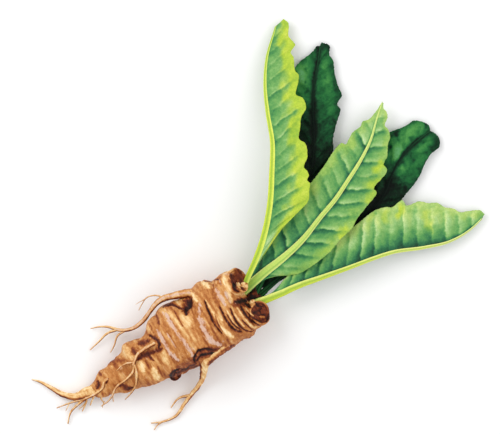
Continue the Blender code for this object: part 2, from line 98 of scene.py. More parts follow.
def skin(name, rings, fields, material, node):
    # a closed mesh over rings of equal count: quads from ring to ring and a fan at each end.
    # The sum of signed tetrahedra tells which way the faces point, and turns them outwards.
    rows, sides = rings.shape[:2]
    points = np.concatenate([rings.reshape(-1, 3), rings[:1].mean(axis=1), rings[-1:].mean(axis=1)])
    points = (points + shift) * mm
    i, j = np.meshgrid(np.arange(rows - 1), np.arange(sides), indexing="ij")
    a, b = (i * sides + j).ravel(), (i * sides + (j + 1) % sides).ravel()
    quads = np.stack([a, b, b + sides, a + sides], axis=1)
    around = np.arange(sides)
    beyond = (around + 1) % sides
    last = (rows - 1) * sides
    fans = np.concatenate([
        np.stack([np.full(sides, rows * sides), beyond, around], axis=1),
        np.stack([np.full(sides, rows * sides + 1), last + around, last + beyond], axis=1)])
    corner = points[quads]
    volume = np.einsum("ij,ij->i", corner[:, 0], np.cross(corner[:, 1], corner[:, 2])).sum()
    volume += np.einsum("ij,ij->i", corner[:, 0], np.cross(corner[:, 2], corner[:, 3])).sum()
    if volume < 0:
        quads, fans = quads[:, ::-1], fans[:, ::-1]
    mesh = bpy.data.meshes.new(name)
    mesh.from_pydata(points.tolist(), [], quads.tolist() + fans.tolist())
    mesh.shade_smooth()
    for label, values in fields.items():
        grid = np.broadcast_to(values, (rows, sides)).astype(float)
        flat = np.concatenate([grid.ravel(), [grid[0].mean()], [grid[-1].mean()]])
        mesh.attributes.new(label, "FLOAT", "POINT").data.foreach_set("value", flat)
    mesh.materials.append(material)
    piece = bpy.data.objects.new(name, mesh)
    bpy.context.scene.collection.objects.link(piece)
    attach(piece, "root")
    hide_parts(node)
    return piece


def ringsAlong(path, radii, sides):
    # circles square to a path, kept level so that they don't twist
    forward = np.gradient(path, axis=0)
    forward /= np.linalg.norm(forward, axis=1)[:, None]
    across = np.cross(forward, (0, 0, 1.0))
    across /= np.linalg.norm(across, axis=1)[:, None]
    up = np.cross(across, forward)
    turn = np.linspace(0, twoPi, sides, endpoint=False)[None, :, None]
    out = across[:, None] * np.cos(turn) + up[:, None] * np.sin(turn)
    return path[:, None] + out * np.asarray(radii)[..., None], out


# Short ways to build a material from nodes.
def addNode(tree, kind, **settings):
    made = tree.nodes.new(kind)
    for key, value in settings.items():
        setattr(made, key, value)
    return made


def plug(tree, socket, value):
    # a socket takes another node's output, or a fixed number or colour
    if isinstance(value, bpy.types.NodeSocket):
        tree.links.new(value, socket)
    else:
        socket.default_value = value


def blendColors(tree, factor, first, second, how="MIX"):
    made = addNode(tree, "ShaderNodeMix", data_type="RGBA", blend_type=how, clamp_factor=True)
    plug(tree, made.inputs[0], factor)
    plug(tree, made.inputs[6], first)
    plug(tree, made.inputs[7], second)
    return made.outputs[2]


def calc(tree, how, first, second=0.0, clamp=False):
    made = addNode(tree, "ShaderNodeMath", operation=how, use_clamp=clamp)
    plug(tree, made.inputs[0], first)
    plug(tree, made.inputs[1], second)
    return made.outputs[0]


def readField(tree, label):
    return addNode(tree, "ShaderNodeAttribute", attribute_name=label).outputs["Fac"]


def objectNoise(tree, size, stretch=(1, 1, 1), detail=4.0, rough=0.55, distort=0.0):
    # noise on Object coordinates, size being its coarsest grain in millimetres
    place = addNode(tree, "ShaderNodeTexCoord").outputs["Object"]
    scaled = addNode(tree, "ShaderNodeMapping")
    tree.links.new(place, scaled.inputs["Vector"])
    scaled.inputs["Scale"].default_value = stretch
    made = addNode(tree, "ShaderNodeTexNoise")
    tree.links.new(scaled.outputs[0], made.inputs["Vector"])
    made.inputs["Scale"].default_value = 1000 / size
    made.inputs["Detail"].default_value = detail
    made.inputs["Roughness"].default_value = rough
    made.inputs["Distortion"].default_value = distort
    return made.outputs[0]


def rampOf(tree, factor, stops):
    # colours along a factor; each stop is (place, hex colour or grey level)
    made = addNode(tree, "ShaderNodeValToRGB")
    plug(tree, made.inputs[0], factor)
    line = made.color_ramp
    while len(line.elements) < len(stops):
        line.elements.new(1.0)
    for element, (place, tone) in zip(line.elements, stops):
        element.position = place
        element.color = hexColor(tone) if isinstance(tone, str) else (tone, tone, tone, 1)
    return made.outputs[0]


def newMaterial(name):
    material = bpy.data.materials.new(name)
    material.use_nodes = True
    tree = material.node_tree
    return material, tree, tree.nodes["Principled BSDF"]


def addBump(tree, shader, height, strength, distance):
    made = addNode(tree, "ShaderNodeBump")
    made.inputs["Strength"].default_value = strength
    made.inputs["Distance"].default_value = distance * mm
    tree.links.new(height, made.inputs["Height"])
    tree.links.new(made.outputs[0], shader.inputs["Normal"])


# where the camera stands: what it looks at, its turn, the width that it takes in, all in mm
view = dict(middle=(118.5, 65.1, 12.0), turn=-32.0, width=500.0, lens=400.0, sensor=36.0)


def setCamera():
    # straight above, turned about the vertical, far enough off that width just fits
    lens = bpy.data.cameras.new("camera")
    lens.lens = view["lens"]
    lens.sensor_width = view["sensor"]
    lens.clip_start = 0.05
    lens.clip_end = 20
    lens.dof.use_dof = False
    camera = bpy.data.objects.new("camera", lens)
    distance = view["lens"] / view["sensor"] * view["width"]
    camera.location = ((np.array(view["middle"]) + shift + (0, 0, distance)) * mm).tolist()
    camera.rotation_euler = (0, 0, math.radians(view["turn"]))
    bpy.context.scene.collection.objects.link(camera)
    bpy.context.scene.camera = camera


# sky: strength; key and fill: x, y and z in mm, power, and width in mm
lights = dict(sky=0.84, key=(-500, 1150, 1500, 12.5, 1300), fill=(700, -500, 1300, 4.5, 1400))


def setLights():
    world = bpy.data.worlds.new("studio")
    world.use_nodes = True
    world.node_tree.nodes["Background"].inputs[0].default_value = (1, 1, 1, 1)
    world.node_tree.nodes["Background"].inputs[1].default_value = lights["sky"]
    bpy.context.scene.world = world
    for name in ("key", "fill"):
        x, y, z, power, size = lights[name]
        lamp = bpy.data.lights.new(name, "AREA")
        lamp.energy = power
        lamp.shape = "DISK"
        lamp.size = size * mm
        holder = bpy.data.objects.new(name, lamp)
        holder.location = (x * mm, y * mm, z * mm)
        aim = -np.array([x, y, z], float)
        level = math.hypot(aim[0], aim[1])
        about = math.atan2(aim[1], aim[0]) - math.pi / 2
        holder.rotation_euler = (math.atan2(level, -aim[2]), 0, about)
        bpy.context.scene.collection.objects.link(holder)
    bpy.context.scene.view_settings.view_transform = "Standard"


floorLook = dict(half=3.0, grey=0.93, rough=0.9)   # half its side, in metres


def layFloor():
    half = floorLook["half"]
    mesh = bpy.data.meshes.new("floor")
    mesh.from_pydata([(-half, -half, 0), (half, -half, 0), (half, half, 0), (-half, half, 0)],
                     [], [(0, 1, 2, 3)])
    material, tree, shader = newMaterial("paleFloor")
    shader.inputs["Base Color"].default_value = (*[floorLook["grey"]] * 3, 1)
    shader.inputs["Roughness"].default_value = floorLook["rough"]
    mesh.materials.append(material)
    floor = bpy.data.objects.new("floor", mesh)
    bpy.context.scene.collection.objects.link(floor)


# The root's body. rows and sides give its fineness, roundness how square its section is.
rootBody = dict(
    rows=420, sides=226, roundness=2.2,
    # x, left edge y, right edge y, top z, bottom z
    outline=[
        (-112, 6.0, -0.5, 10, 4), (-106, 6.8, -7.5, 15, 2.5), (-100, 8.8, -11, 20, 1),
        (-90, 15.5, -12.5, 25, 0), (-80, 16, -17.5, 29, -0.5), (-70, 15.8, -20.3, 33, -1),
        (-63, 18, -21.8, 36, -1), (-57, 24.4, -24, 41, -1.5), (-48, 23.4, -26, 43, -1.5),
        (-38, 21.3, -27.5, 45, -1.5), (-31, 23, -32.5, 50, -1.5), (-24, 29.5, -33.5, 56, -1.5),
        (-14, 33, -32.4, 60, -1.5), (-4, 36.2, -35.2, 62.5, -1.5), (8, 34.5, -37, 62.5, -1.5),
        (20, 33.5, -36.2, 62, -1.5), (32, 36.2, -36.4, 62.5, -1.5), (42, 38, -35.4, 62.5, -1.5),
        (48, 36.5, -34.8, 61.5, -1.5), (54, 32.4, -36.6, 60, -1.5), (60, 29.8, -36, 57, -1),
        (66, 25, -31, 49, 2), (71, 16, -23, 40, 9), (74, 8, -13, 31, 17)],
    # x on the midline, depth, width
    furrows=[(-84, 0.8, 2.4), (-72, 0.7, 2.4), (-53, 0.6, 2.2), (-45, 0.8, 2.4), (-36, 0.9, 2.4),
             (-22, 0.7, 2.3), (-13, 0.9, 2.2), (4, 0.9, 2.2), (16, 1.0, 2.4), (33, 1.6, 2.4),
             (44, 1.4, 2.2), (51, 1.3, 2.2), (59, 1.2, 2.3)],
    # x, y, half-length, half-width, depth, on the upper side
    hollows=[(17, 26, 7, 5, 4.0), (-40, 14, 7, 3.5, 1.2), (66, -3, 9, 6, 5.0), (-14, -29, 12, 4, 1.5),
             (-36, 3, 8, 3, 1.2)],
)

# Painted on whatever lies on top there, in this order. tone runs from 0, nearly black, through
# brown and ochre to 1, cream. tone, half-width, depth of the groove, then x and y along it.
# The near-black strokes that carve a groove are partly the skin's own dark brown and partly
# painted shade in those grooves and recesses; the thin cream lines beside them are painted
# highlights on the ridges.
skinStrokes = [
    (0.86, 6.0, 0, [(10, 18), (10.5, 7)]), (0.80, 3.5, 0, [(-26, -4), (-28, -15)]),
    (0.90, 3.6, 0, [(-43, -12), (-44.5, -23)]), (0.88, 3.2, 0, [(-50, 2), (-52, -9)]),
    (0.80, 5.0, 0, [(-57, 22), (-56, 8)]), (0.52, 4.0, 0, [(23.4, 16), (18.3, 5), (17, -5), (16.5, -14)]),
    (0.56, 6.0, 0, [(-9, 0), (-8, -20)]), (0.52, 5.0, 0, [(42, -28), (49, -31), (57, -35)]),
    (0.42, 3.6, 0, [(-79, 15), (-70, 14), (-64, 11)]), (0.62, 5.0, 0, [(-84, 11), (-80, 0)]),
    (0.92, 2.6, 0, [(44, 37), (47, 28)]), (0.88, 2.6, 0, [(65, 26), (61, 13.6), (58, 4)]),
    (0.90, 2.8, 0, [(28, 34), (30, 22)]), (0.92, 2.4, 0, [(36.3, -12), (38.3, -20), (41, -27)]),
    (0.40, 7.0, 0, [(-22, -27), (-12, -27), (-2, -28)]), (0.30, 3.5, 0, [(-50, 16), (-49.6, 9)]),
    (0.28, 3.2, 0, [(-42, 17.5), (-37, 15.5), (-32, 14)]), (0.50, 3.0, 0, [(-66, 10), (-66, -14)]),
    (0.44, 2.4, 0, [(49, 24), (46.5, 12), (45.5, 4)]), (0.50, 2.0, 0, [(39, 24), (38, 8)]),
    (0.35, 5.0, 0, [(60, -1), (66, -6)]), (0.45, 2.2, 0, [(55, -4), (55.5, -16), (57, -26)]),
    (0.86, 1.2, 0, [(37.3, 19), (37.4, 5), (36.4, -11)]),
    (0.88, 1.0, 0, [(50, -2), (49.5, -15), (50.5, -22)]),
    (0.84, 1.5, 0, [(59.7, -4.7), (61.3, -16.8), (63.2, -28.5), (67, -33)]),
    (0.80, 1.3, 0, [(56, 0), (54.5, -12), (56, -24)]), (0.90, 1.3, 0, [(42, 2), (41, -8)]),
    (0.82, 2.4, 0, [(-17, -31), (-6, -36)]),
    (0.20, 3.0, 0.8, [(-51, 4.4), (-43, 4.4), (-36, 3), (-30, 1.2), (-25, 0.6)]),
    (0.24, 1.8, 0.3, [(-39, 3), (-39.2, -1.8), (-38.5, -5)]),
    # painted shadow: near black in the recess under the left side root's foot
    (0.07, 4.6, 2.4, [(25, 30), (21, 27), (15, 25)]), (0.12, 2.6, 1.2, [(16, 26), (13.8, 17.5)]),
    (0.16, 1.8, 0.6, [(-2, 35.5), (5.2, 33), (10, 28.5), (14, 26)]),
    (0.22, 3.6, 0.4, [(-25, -27), (-30, -27), (-32, -30), (-29, -33), (-25, -32), (-24, -29)]),
    (0.06, 1.3, 0.6, [(-22, -28), (-26, -25.3), (-31, -26), (-33, -30), (-31, -33.5)]),
    (0.10, 0.9, 0.4, [(-24, -31), (-26.5, -28.3), (-30, -29.5)]),
    (0.44, 1.2, 0, [(-29.5, -31.5), (-27.5, -32)]),
    (0.20, 1.8, 0.6, [(-23, -31), (-14, -32.5), (-5, -34)]),
    (0.14, 1.0, 0.5, [(-22, -27.5), (-17, -30.5), (-9, -31), (-3, -32)]),
    (0.36, 2.6, 0, [(1, -27), (8, -26), (16, -28)]),
    (0.03, 1.5, 1.6, [(-4.5, -30), (-2.5, -25.6), (2.4, -23.2), (7, -22.4), (12.7, -23.8), (20, -29)]),
    (0.03, 1.5, 1.2, [(-1.7, -30), (3.1, -28.2), (8.8, -28.2), (14, -29), (21, -33)]),
    (0.32, 1.8, 0.4, [(15.4, -22.3), (20.4, -27.3), (28, -32.5)]),
    (0.12, 1.9, 1.6, [(-28.5, 18.4), (-25.2, 13), (-24.2, 6.9), (-27.6, 2.6)]),
    (0.30, 1.5, 0.5, [(-12.2, 32.4), (-13, 27.9), (-14.4, 22.5)]),
    (0.38, 0.9, 0.5, [(5.4, 26), (5, 18.3), (4.7, 8.5)]), (0.42, 0.8, 0.4, [(-22.5, 27.5), (-23.8, 18.5)]),
    (0.45, 0.9, 0.4, [(-33, -2), (-33.4, -13)]), (0.42, 1.6, 0.5, [(-45, -0.6), (-46.5, -10)]),
    (0.45, 0.9, 0.3, [(-20.5, -6), (-22, -20)]), (0.40, 0.9, 0.4, [(-38, -12), (-39.5, -24)]),
    (0.11, 1.2, 1.4, [(36.3, 19), (34.2, 8), (32.4, -6), (33.7, -19)]),
    (0.28, 0.7, 0.5, [(37.8, 2), (35.6, -8), (35.4, -17)]),
    (0.09, 1.3, 1.4, [(45.8, 5), (44.6, -5), (44.8, -15), (47, -23), (51, -28.5)]),
    (0.12, 0.8, 0.7, [(47.8, -5), (48.2, -16), (51.5, -27)]),
    (0.13, 1.1, 1.1, [(54, -1), (52.2, -12), (52.6, -21), (55, -28.5), (60, -32.4)]),
    (0.20, 0.8, 0.6, [(57.6, -18), (59.4, -26), (61.6, -32.5)]),
    (0.10, 1.7, 1.2, [(63.4, -6), (63.2, -14), (64.8, -23), (69, -31)]),
    (0.25, 0.9, 0.6, [(46.5, 36.5), (49.6, 35), (55, 31.5), (59, 29)]),
    (0.40, 1.0, 0.4, [(52, 30), (50.5, 24)]), (0.16, 2.2, 0.5, [(-97, 7), (-99, 3), (-102, 1)]),
    (0.34, 2.0, 0.3, [(-91.4, 14), (-91.2, 10)]), (0.24, 1.2, 0.5, [(-87, 3.4), (-91, 0.5)]),
    (0.22, 2.2, 0.4, [(-84, -8.5), (-78, -9.5), (-76.5, -14), (-71, -17.5)]),
    # painted shade: dark brown over the upper head's end, and near black in its cavity
    (0.30, 3.4, 0, [(80, 27), (77, 21), (80, 16)]), (0.22, 3.2, 0, [(72, 25), (70, 19), (75, 14)]),
    (0.04, 2.2, 1.0, [(69.5, 17), (67.8, 12), (69.5, 8)]),
    (0.20, 0.9, 0.4, [(77, 17), (75, 12.5), (74, 8), (76, 5.5)]),
    (0.94, 2.0, 0, [(78.5, 11.5), (78, 8)]), (0.88, 1.6, 0, [(72.4, 15), (72.6, 10.5)]),
    (0.76, 1.8, 0, [(69, 5.6), (76.5, 2.8)]),
    # painted shade: near black in the cleft between the upper and lower heads
    (0.04, 3.4, 0.6, [(61.7, 1.6), (68.4, -1.6), (74, -3.4), (82, -3.2)]),
    (0.05, 2.0, 0.4, [(68.5, -6), (71, -11)]), (0.64, 2.4, 0, [(74, -7.6), (76, -10.5)]),
    (0.30, 5.0, 0, [(72, -18), (76, -22), (80, -25)]),
    (0.12, 1.1, 0.5, [(66.2, -13), (68, -21.5), (72, -28)]),
    (0.84, 0.8, 0, [(67.2, -9.6), (67.4, -14), (69.4, -20)]),
    (0.14, 1.2, 0.4, [(70.5, -16), (74, -22), (80, -25.5)]),
    (0.10, 0.9, 0.4, [(78.5, -9.3), (78, -14.2), (82, -17)]),
    (0.12, 1.6, 0.4, [(71, -18), (76, -18.5), (80, -18)]),
    (0.08, 1.5, 0.4, [(88.4, -19), (86, -25), (81, -29.5), (77, -32)]),
    (0.60, 1.2, 0, [(74, -24), (78, -27)]), (0.30, 2.0, 0, [(80, -1), (86, -4), (87, -8)]),
]
# half-width, strength, then x and y along it
pinkStrokes = [
    (2.3, 1.0, [(-3, 28), (-4.2, 18), (-4.2, 7.5)]), (2.2, 0.9, [(-4.2, 8), (-2.6, -2), (-2.6, -22)]),
    (2.2, 1.0, [(-19, 19), (-19.4, 5), (-19.7, -8), (-17.4, -18)]), (1.0, 0.8, [(-12.4, 11), (-12.4, -6)]),
    (3.0, 1.0, [(23.6, 8), (20.8, -6), (21, -17), (27, -27)]), (1.8, 0.8, [(28, 16), (24, 8)]),
    (1.2, 0.7, [(-5.2, 31.5), (-5.4, 28)]), (2.0, 0.95, [(52, 23), (51.3, 14), (51.6, 4)]),
    (1.8, 0.8, [(58, 15), (57.2, 3)]), (1.0, 0.8, [(60, 28), (58, 22.5)]),
    (1.4, 0.6, [(67, 30), (73, 26.5)]),
    (1.5, 0.5, [(31, 20), (29.5, 14)]), (3.0, 0.4, [(-72, 8), (-70, 0)]),
]


strokeSteps = 50   # places along a stroke where distances to it are taken


def nearStroke(x, y, points, reach):
    # distance to a smooth line through the points and the share along it, where it is in reach
    line = curveThrough(points, np.linspace(0, 1, strokeSteps))
    low, high = line.min(axis=0) - reach, line.max(axis=0) + reach
    spot = (x > low[0]) & (x < high[0]) & (y > low[1]) & (y < high[1])
    gap = np.hypot(x[spot][:, None] - line[:, 0], y[spot][:, None] - line[:, 1])
    return spot, gap.min(axis=1), gap.argmin(axis=1) / (strokeSteps - 1)


def paintSkin(x, y, z, onTop, tone):
    # lays each stroke on the tone: bell-shaped across, thinner at its ends, ragged at its rim.
    # Grooves add up in carve.
    ragged = 1 + 0.3 * mottle(x, y, z, 5, 61) + 0.2 * mottle(x, y, z, 2.2, 62)
    carve, pink = np.zeros_like(tone), np.zeros_like(tone)
    for value, width, depth, points in skinStrokes:
        spot, gap, share = nearStroke(x, y, points, 3 * width)
        thin = width * (0.55 + 0.45 * np.sin(math.pi * share) ** 0.6) * ragged[spot]
        cover = np.exp(-np.abs(gap / np.maximum(thin, 0.2)) ** 2.6) * onTop[spot]
        tone[spot] += (value - tone[spot]) * cover
        carve[spot] += depth * cover
    for width, strength, points in pinkStrokes:
        spot, gap, share = nearStroke(x, y, points, 3 * width)
        thin = width * (0.6 + 0.4 * np.sin(math.pi * share) ** 0.6) * ragged[spot]
        cover = strength * np.exp(-np.abs(gap / np.maximum(thin, 0.2)) ** 3) * onTop[spot]
        pink[spot] = np.maximum(pink[spot], cover)
    return tone, pink, carve


def ringStreaks(x, around, girth, count, low, high, seed):
    # short streaks that run round the root: bells in x and around, light or dark at random
    random = np.random.default_rng(seed)
    total = np.zeros(np.broadcast(x, around).shape)
    for streak in range(count):
        atX, atRound = random.uniform(low, high), random.uniform(0, girth)
        wide, long = random.uniform(0.5, 2.0), random.uniform(5, 17)
        tilt = random.uniform(-0.08, 0.08)
        off = (around - atRound + girth / 2) % girth - girth / 2
        bell = np.exp(-(((x - atX - tilt * off) / wide) ** 2) - (off / long) ** 2)
        total += random.normal(0, 0.15) * bell
    return total


def bodySection(x):
    # middle and half-size of the root at x, from the outline
    rows = np.array(rootBody["outline"], float)
    fine = curveThrough(rows, np.linspace(0, 1, 400))
    left, right, top, bottom = (np.interp(x, fine[:, 0], fine[:, i]) for i in (1, 2, 3, 4))
    return (left + right) / 2, (top + bottom) / 2, (left - right) / 2, (top - bottom) / 2


def bodyRelief(x, y, turn, onTop):
    # how far the skin stands out: furrows all round, hollows on top, broad lumps, and fine rings
    # whose height is an even noise along x that drifts slowly round the root
    random = np.random.default_rng(7)
    phases = random.uniform(0, twoPi, (len(rootBody["furrows"]) + 6, 2))
    out = np.zeros_like(x)
    bend = 0.006 * (y + 8) ** 2 * onTop
    for (at, depth, width), (phase, _) in zip(rootBody["furrows"], phases):
        out -= depth * (0.7 + 0.3 * np.cos(turn - phase)) * bump(x - bend, at - 1, width)
    for at, side, length, width, depth in rootBody["hollows"]:
        out -= depth * onTop * np.exp(-(((x - at) / length) ** 2) - ((y - side) / width) ** 2)
    for n, (phase, drift) in enumerate(phases[len(rootBody["furrows"]):]):
        out += 0.42 * np.sin(x * (0.05 + 0.045 * n) + phase + (n % 3 + 1) * turn + drift)
    rings = np.random.default_rng(3).normal(size=300)
    drift = 1.2 * np.sin(turn + 1) + 0.8 * np.sin(2 * turn) + 0.4 * np.sin(5 * turn)
    fine = np.interp((x + drift + 130) / 1.5, np.arange(300), rings)
    coarse = np.interp((x + 0.5 * drift + 130) / 3.4, np.arange(300), rings[::-1])
    out += 0.10 * fine * (0.5 + 0.5 * mottle(x, y, turn * 20, 30, 5)) + 0.18 * coarse
    return out + 0.25 * mottle(x, y, turn * 25, 11, 9) + 0.08 * mottle(x, y, turn * 25, 4, 2)


def buildBody(material):
    low, high = rootBody["outline"][0][0], rootBody["outline"][-1][0]
    x = np.linspace(low, high, rootBody["rows"])[:, None]
    turn = np.linspace(0, twoPi, rootBody["sides"], endpoint=False)[None, :]
    yMid, zMid, halfWidth, halfHeight = bodySection(x)
    power = 2 / rootBody["roundness"]
    yOut = np.sign(np.cos(turn)) * np.abs(np.cos(turn)) ** power
    zOut = np.sign(np.sin(turn)) * np.abs(np.sin(turn)) ** power
    grid, turns = x + 0 * turn, turn + 0 * x
    out = bodyRelief(grid, yMid + halfWidth * yOut, turns, (zOut > 0) * 1.0)
    onTop = smoothStep(-0.15, 0.25, zOut) + 0 * x
    flatY, flatZ = yMid + halfWidth * yOut, zMid + halfHeight * zOut
    tone = 0.62 + 0.09 * mottle(grid, flatY * 0.25, flatZ * 0.25, 5, 51)
    tone = tone + 0.05 * mottle(grid, flatY, flatZ, 22, 52)
    tone += ringStreaks(grid, turns * 34, 34 * twoPi, 170, low, high, 53)
    # painted shade: the skin is darker on its underside and towards low y, the sides turned from the light
    tone -= 0.08 * (1 - onTop) + 0.08 * smoothStep(-4, -32, flatY)
    tone, pink, carve = paintSkin(grid, flatY, flatZ, onTop, tone)
    out = (out - carve) * np.clip(halfWidth / 12, 0, 1)
    y = yMid + (halfWidth + out) * yOut
    z = np.maximum(zMid + (halfHeight + out) * zOut, 0)
    fields = dict(tone=np.clip(tone, 0, 1), pink=pink)
    skin("rootBody", np.stack([grid, y, z], axis=2), fields, material, "root")


crownHeads = dict(
    sides=120, rows=80,
    # the way up from inside the root, radii along it, tone of its side and of its hollow end, whose darker
    # tone is painted shade in the hollow
    upperHead=dict(path=[(46, 14, 24), (60, 17, 34), (70, 18, 41.5), (75.5, 18.2, 46)],
                   radii=(15, 16, 15.2, 13.2), side=0.70, hollow=0.34, seed=20),
    lowerHead=dict(path=[(48, -14, 18), (61, -17.5, 26), (70.5, -20, 33), (76.5, -21, 40.5)],
                   radii=(14, 15.4, 13.6, 11.6), side=0.62, hollow=0.30, seed=21),
    # painted shade: the back head sits in the shade between the other two, so its side and hollow end are
    # painted near black
    backHead=dict(path=[(52, -4, 15), (66, -4, 17), (78, -4.2, 19.5), (86, -4.6, 22)],
                  radii=(10, 10, 9.4, 8.2), side=0.16, hollow=0.05, seed=22),
    stump=dict(path=[(-25, -17, 14), (-27, -23, 22), (-28, -27, 27), (-28.5, -29.5, 31)],
               radii=(7, 7, 6.6, 5.8), side=0.36, hollow=0.26, seed=23),
    # across the hollow end from its rim: share of the radius, and height
    end=[(1.0, 0), (0.97, 0.7), (0.9, 1.0), (0.82, 0.4), (0.75, -0.7), (0.68, -0.4), (0.6, -1.2),
         (0.5, -1.9), (0.44, -1.4), (0.34, -2.3), (0.24, -2.0), (0.12, -2.8), (0.02, -2.9)],
)


def buildHead(name, head, material):
    # a tube up a curved way, ringed like the root, closed by a shallow hollow with low terraces
    shares = np.linspace(0, 1, crownHeads["rows"])
    path = curveThrough(head["path"], shares)
    sides, seed = crownHeads["sides"], head["seed"]
    turn = np.linspace(0, twoPi, sides, endpoint=False)[None, :]
    radii = np.interp(shares, np.linspace(0, 1, 4), head["radii"])[:, None]
    scale = head["radii"][-1] / 12
    length = np.linalg.norm(np.diff(path, axis=0), axis=1).sum()
    along = shares[:, None] * length + 0.6 * np.sin(2 * turn)
    ringNoise = np.random.default_rng(seed).normal(size=80)
    ripple = 0.4 * np.interp(along / 2.4, np.arange(80), ringNoise) * scale
    wobble = 1 + 0.035 * np.sin(3 * turn + seed) + 0.02 * np.sin(5 * turn + 2 * seed)
    rings, out = ringsAlong(path, radii * wobble + ripple, sides)
    forward = path[-1] - path[-2]
    forward /= np.linalg.norm(forward)
    knots = np.array(crownHeads["end"], float)
    curve = curveThrough(knots, np.linspace(0, 1, 60))[1:]
    wide = (rings[-1] - path[-1])[None] * curve[:, :1, None]
    rough = 0.35 * mottle(wide[..., 0], wide[..., 1], wide[..., 2], 6, seed + 5)
    lift = (curve[:, 1:2] * scale + rough * (curve[:, :1] < 0.9)) * (1 + 0.25 * np.sin(turn + seed))
    cap = path[-1] + wide + forward * lift[..., None]
    grid = np.concatenate([rings, cap])
    x, y, z = grid[..., 0], grid[..., 1], grid[..., 2]
    inHollow = np.concatenate([0 * shares, smoothStep(0.95, 0.8, curve[:, 0])])[:, None]
    # the hollow end takes its darker tone as painted shade
    tone = head["side"] + (head["hollow"] - head["side"]) * inHollow + 0.07 * mottle(x, y, z, 9, seed + 1)
    streaks = ringStreaks(along, turn * 14, 14 * twoPi, 50, 0, length, seed + 2)
    tone[:len(shares)] += streaks
    arcs = mottle(curve[:, :1] * 14 + 2 * np.sin(turn + seed), 3 * turn, 0 * turn, 1.6, seed + 9)
    tone[len(shares):] += 0.09 * arcs
    facing = np.concatenate([out[..., 2], np.ones((len(cap), sides))])
    tone, pink, carve = paintSkin(x, y, z, smoothStep(-0.1, 0.3, facing), tone)
    carved = np.concatenate([out, np.broadcast_to(forward, cap.shape)])
    grid = grid - carved * (0.7 * carve)[..., None]
    skin(name, grid, dict(tone=np.clip(tone, 0, 1), pink=pink), material, "root")


budScales = dict(
    # middle, half-sizes along, across and up, turn about the vertical
    innerScale=((77.4, 10.2, 42.6), (3.6, 4.2, 2.6), 0.3),
    outerScale=((72.6, 13.2, 44.8), (2.2, 4.0, 1.8), -0.2),
    lowScale=((75.5, -8.6, 37.5), (3.4, 3.0, 2.4), 0.5))


def buildScale(name, middle, size, turned, seed, material):
    # an egg: circles stacked from pole to pole, its skin a little rough
    up = np.linspace(-math.pi / 2, math.pi / 2, 26)[1:-1, None]
    turn = np.linspace(0, twoPi, 36, endpoint=False)[None, :]
    rough = 1 + 0.03 * mottle(8 * np.cos(turn), 8 * np.sin(turn), 9 * up, 9, seed)
    ahead = size[0] * np.cos(up) * np.cos(turn) * rough
    aside = size[1] * np.cos(up) * np.sin(turn) * rough
    x = middle[0] + ahead * math.cos(turned) - aside * math.sin(turned)
    y = middle[1] + ahead * math.sin(turned) + aside * math.cos(turned)
    z = middle[2] + size[2] * np.sin(up) + 0 * turn
    tone = 0.84 - 0.4 * smoothStep(0.8, 1.0, np.abs(np.cos(turn * 1.5 + seed))) * np.cos(up)
    rings = np.stack([x, y, z], axis=2)
    skin(name, rings, dict(tone=tone, pink=0 * tone), material, "root")


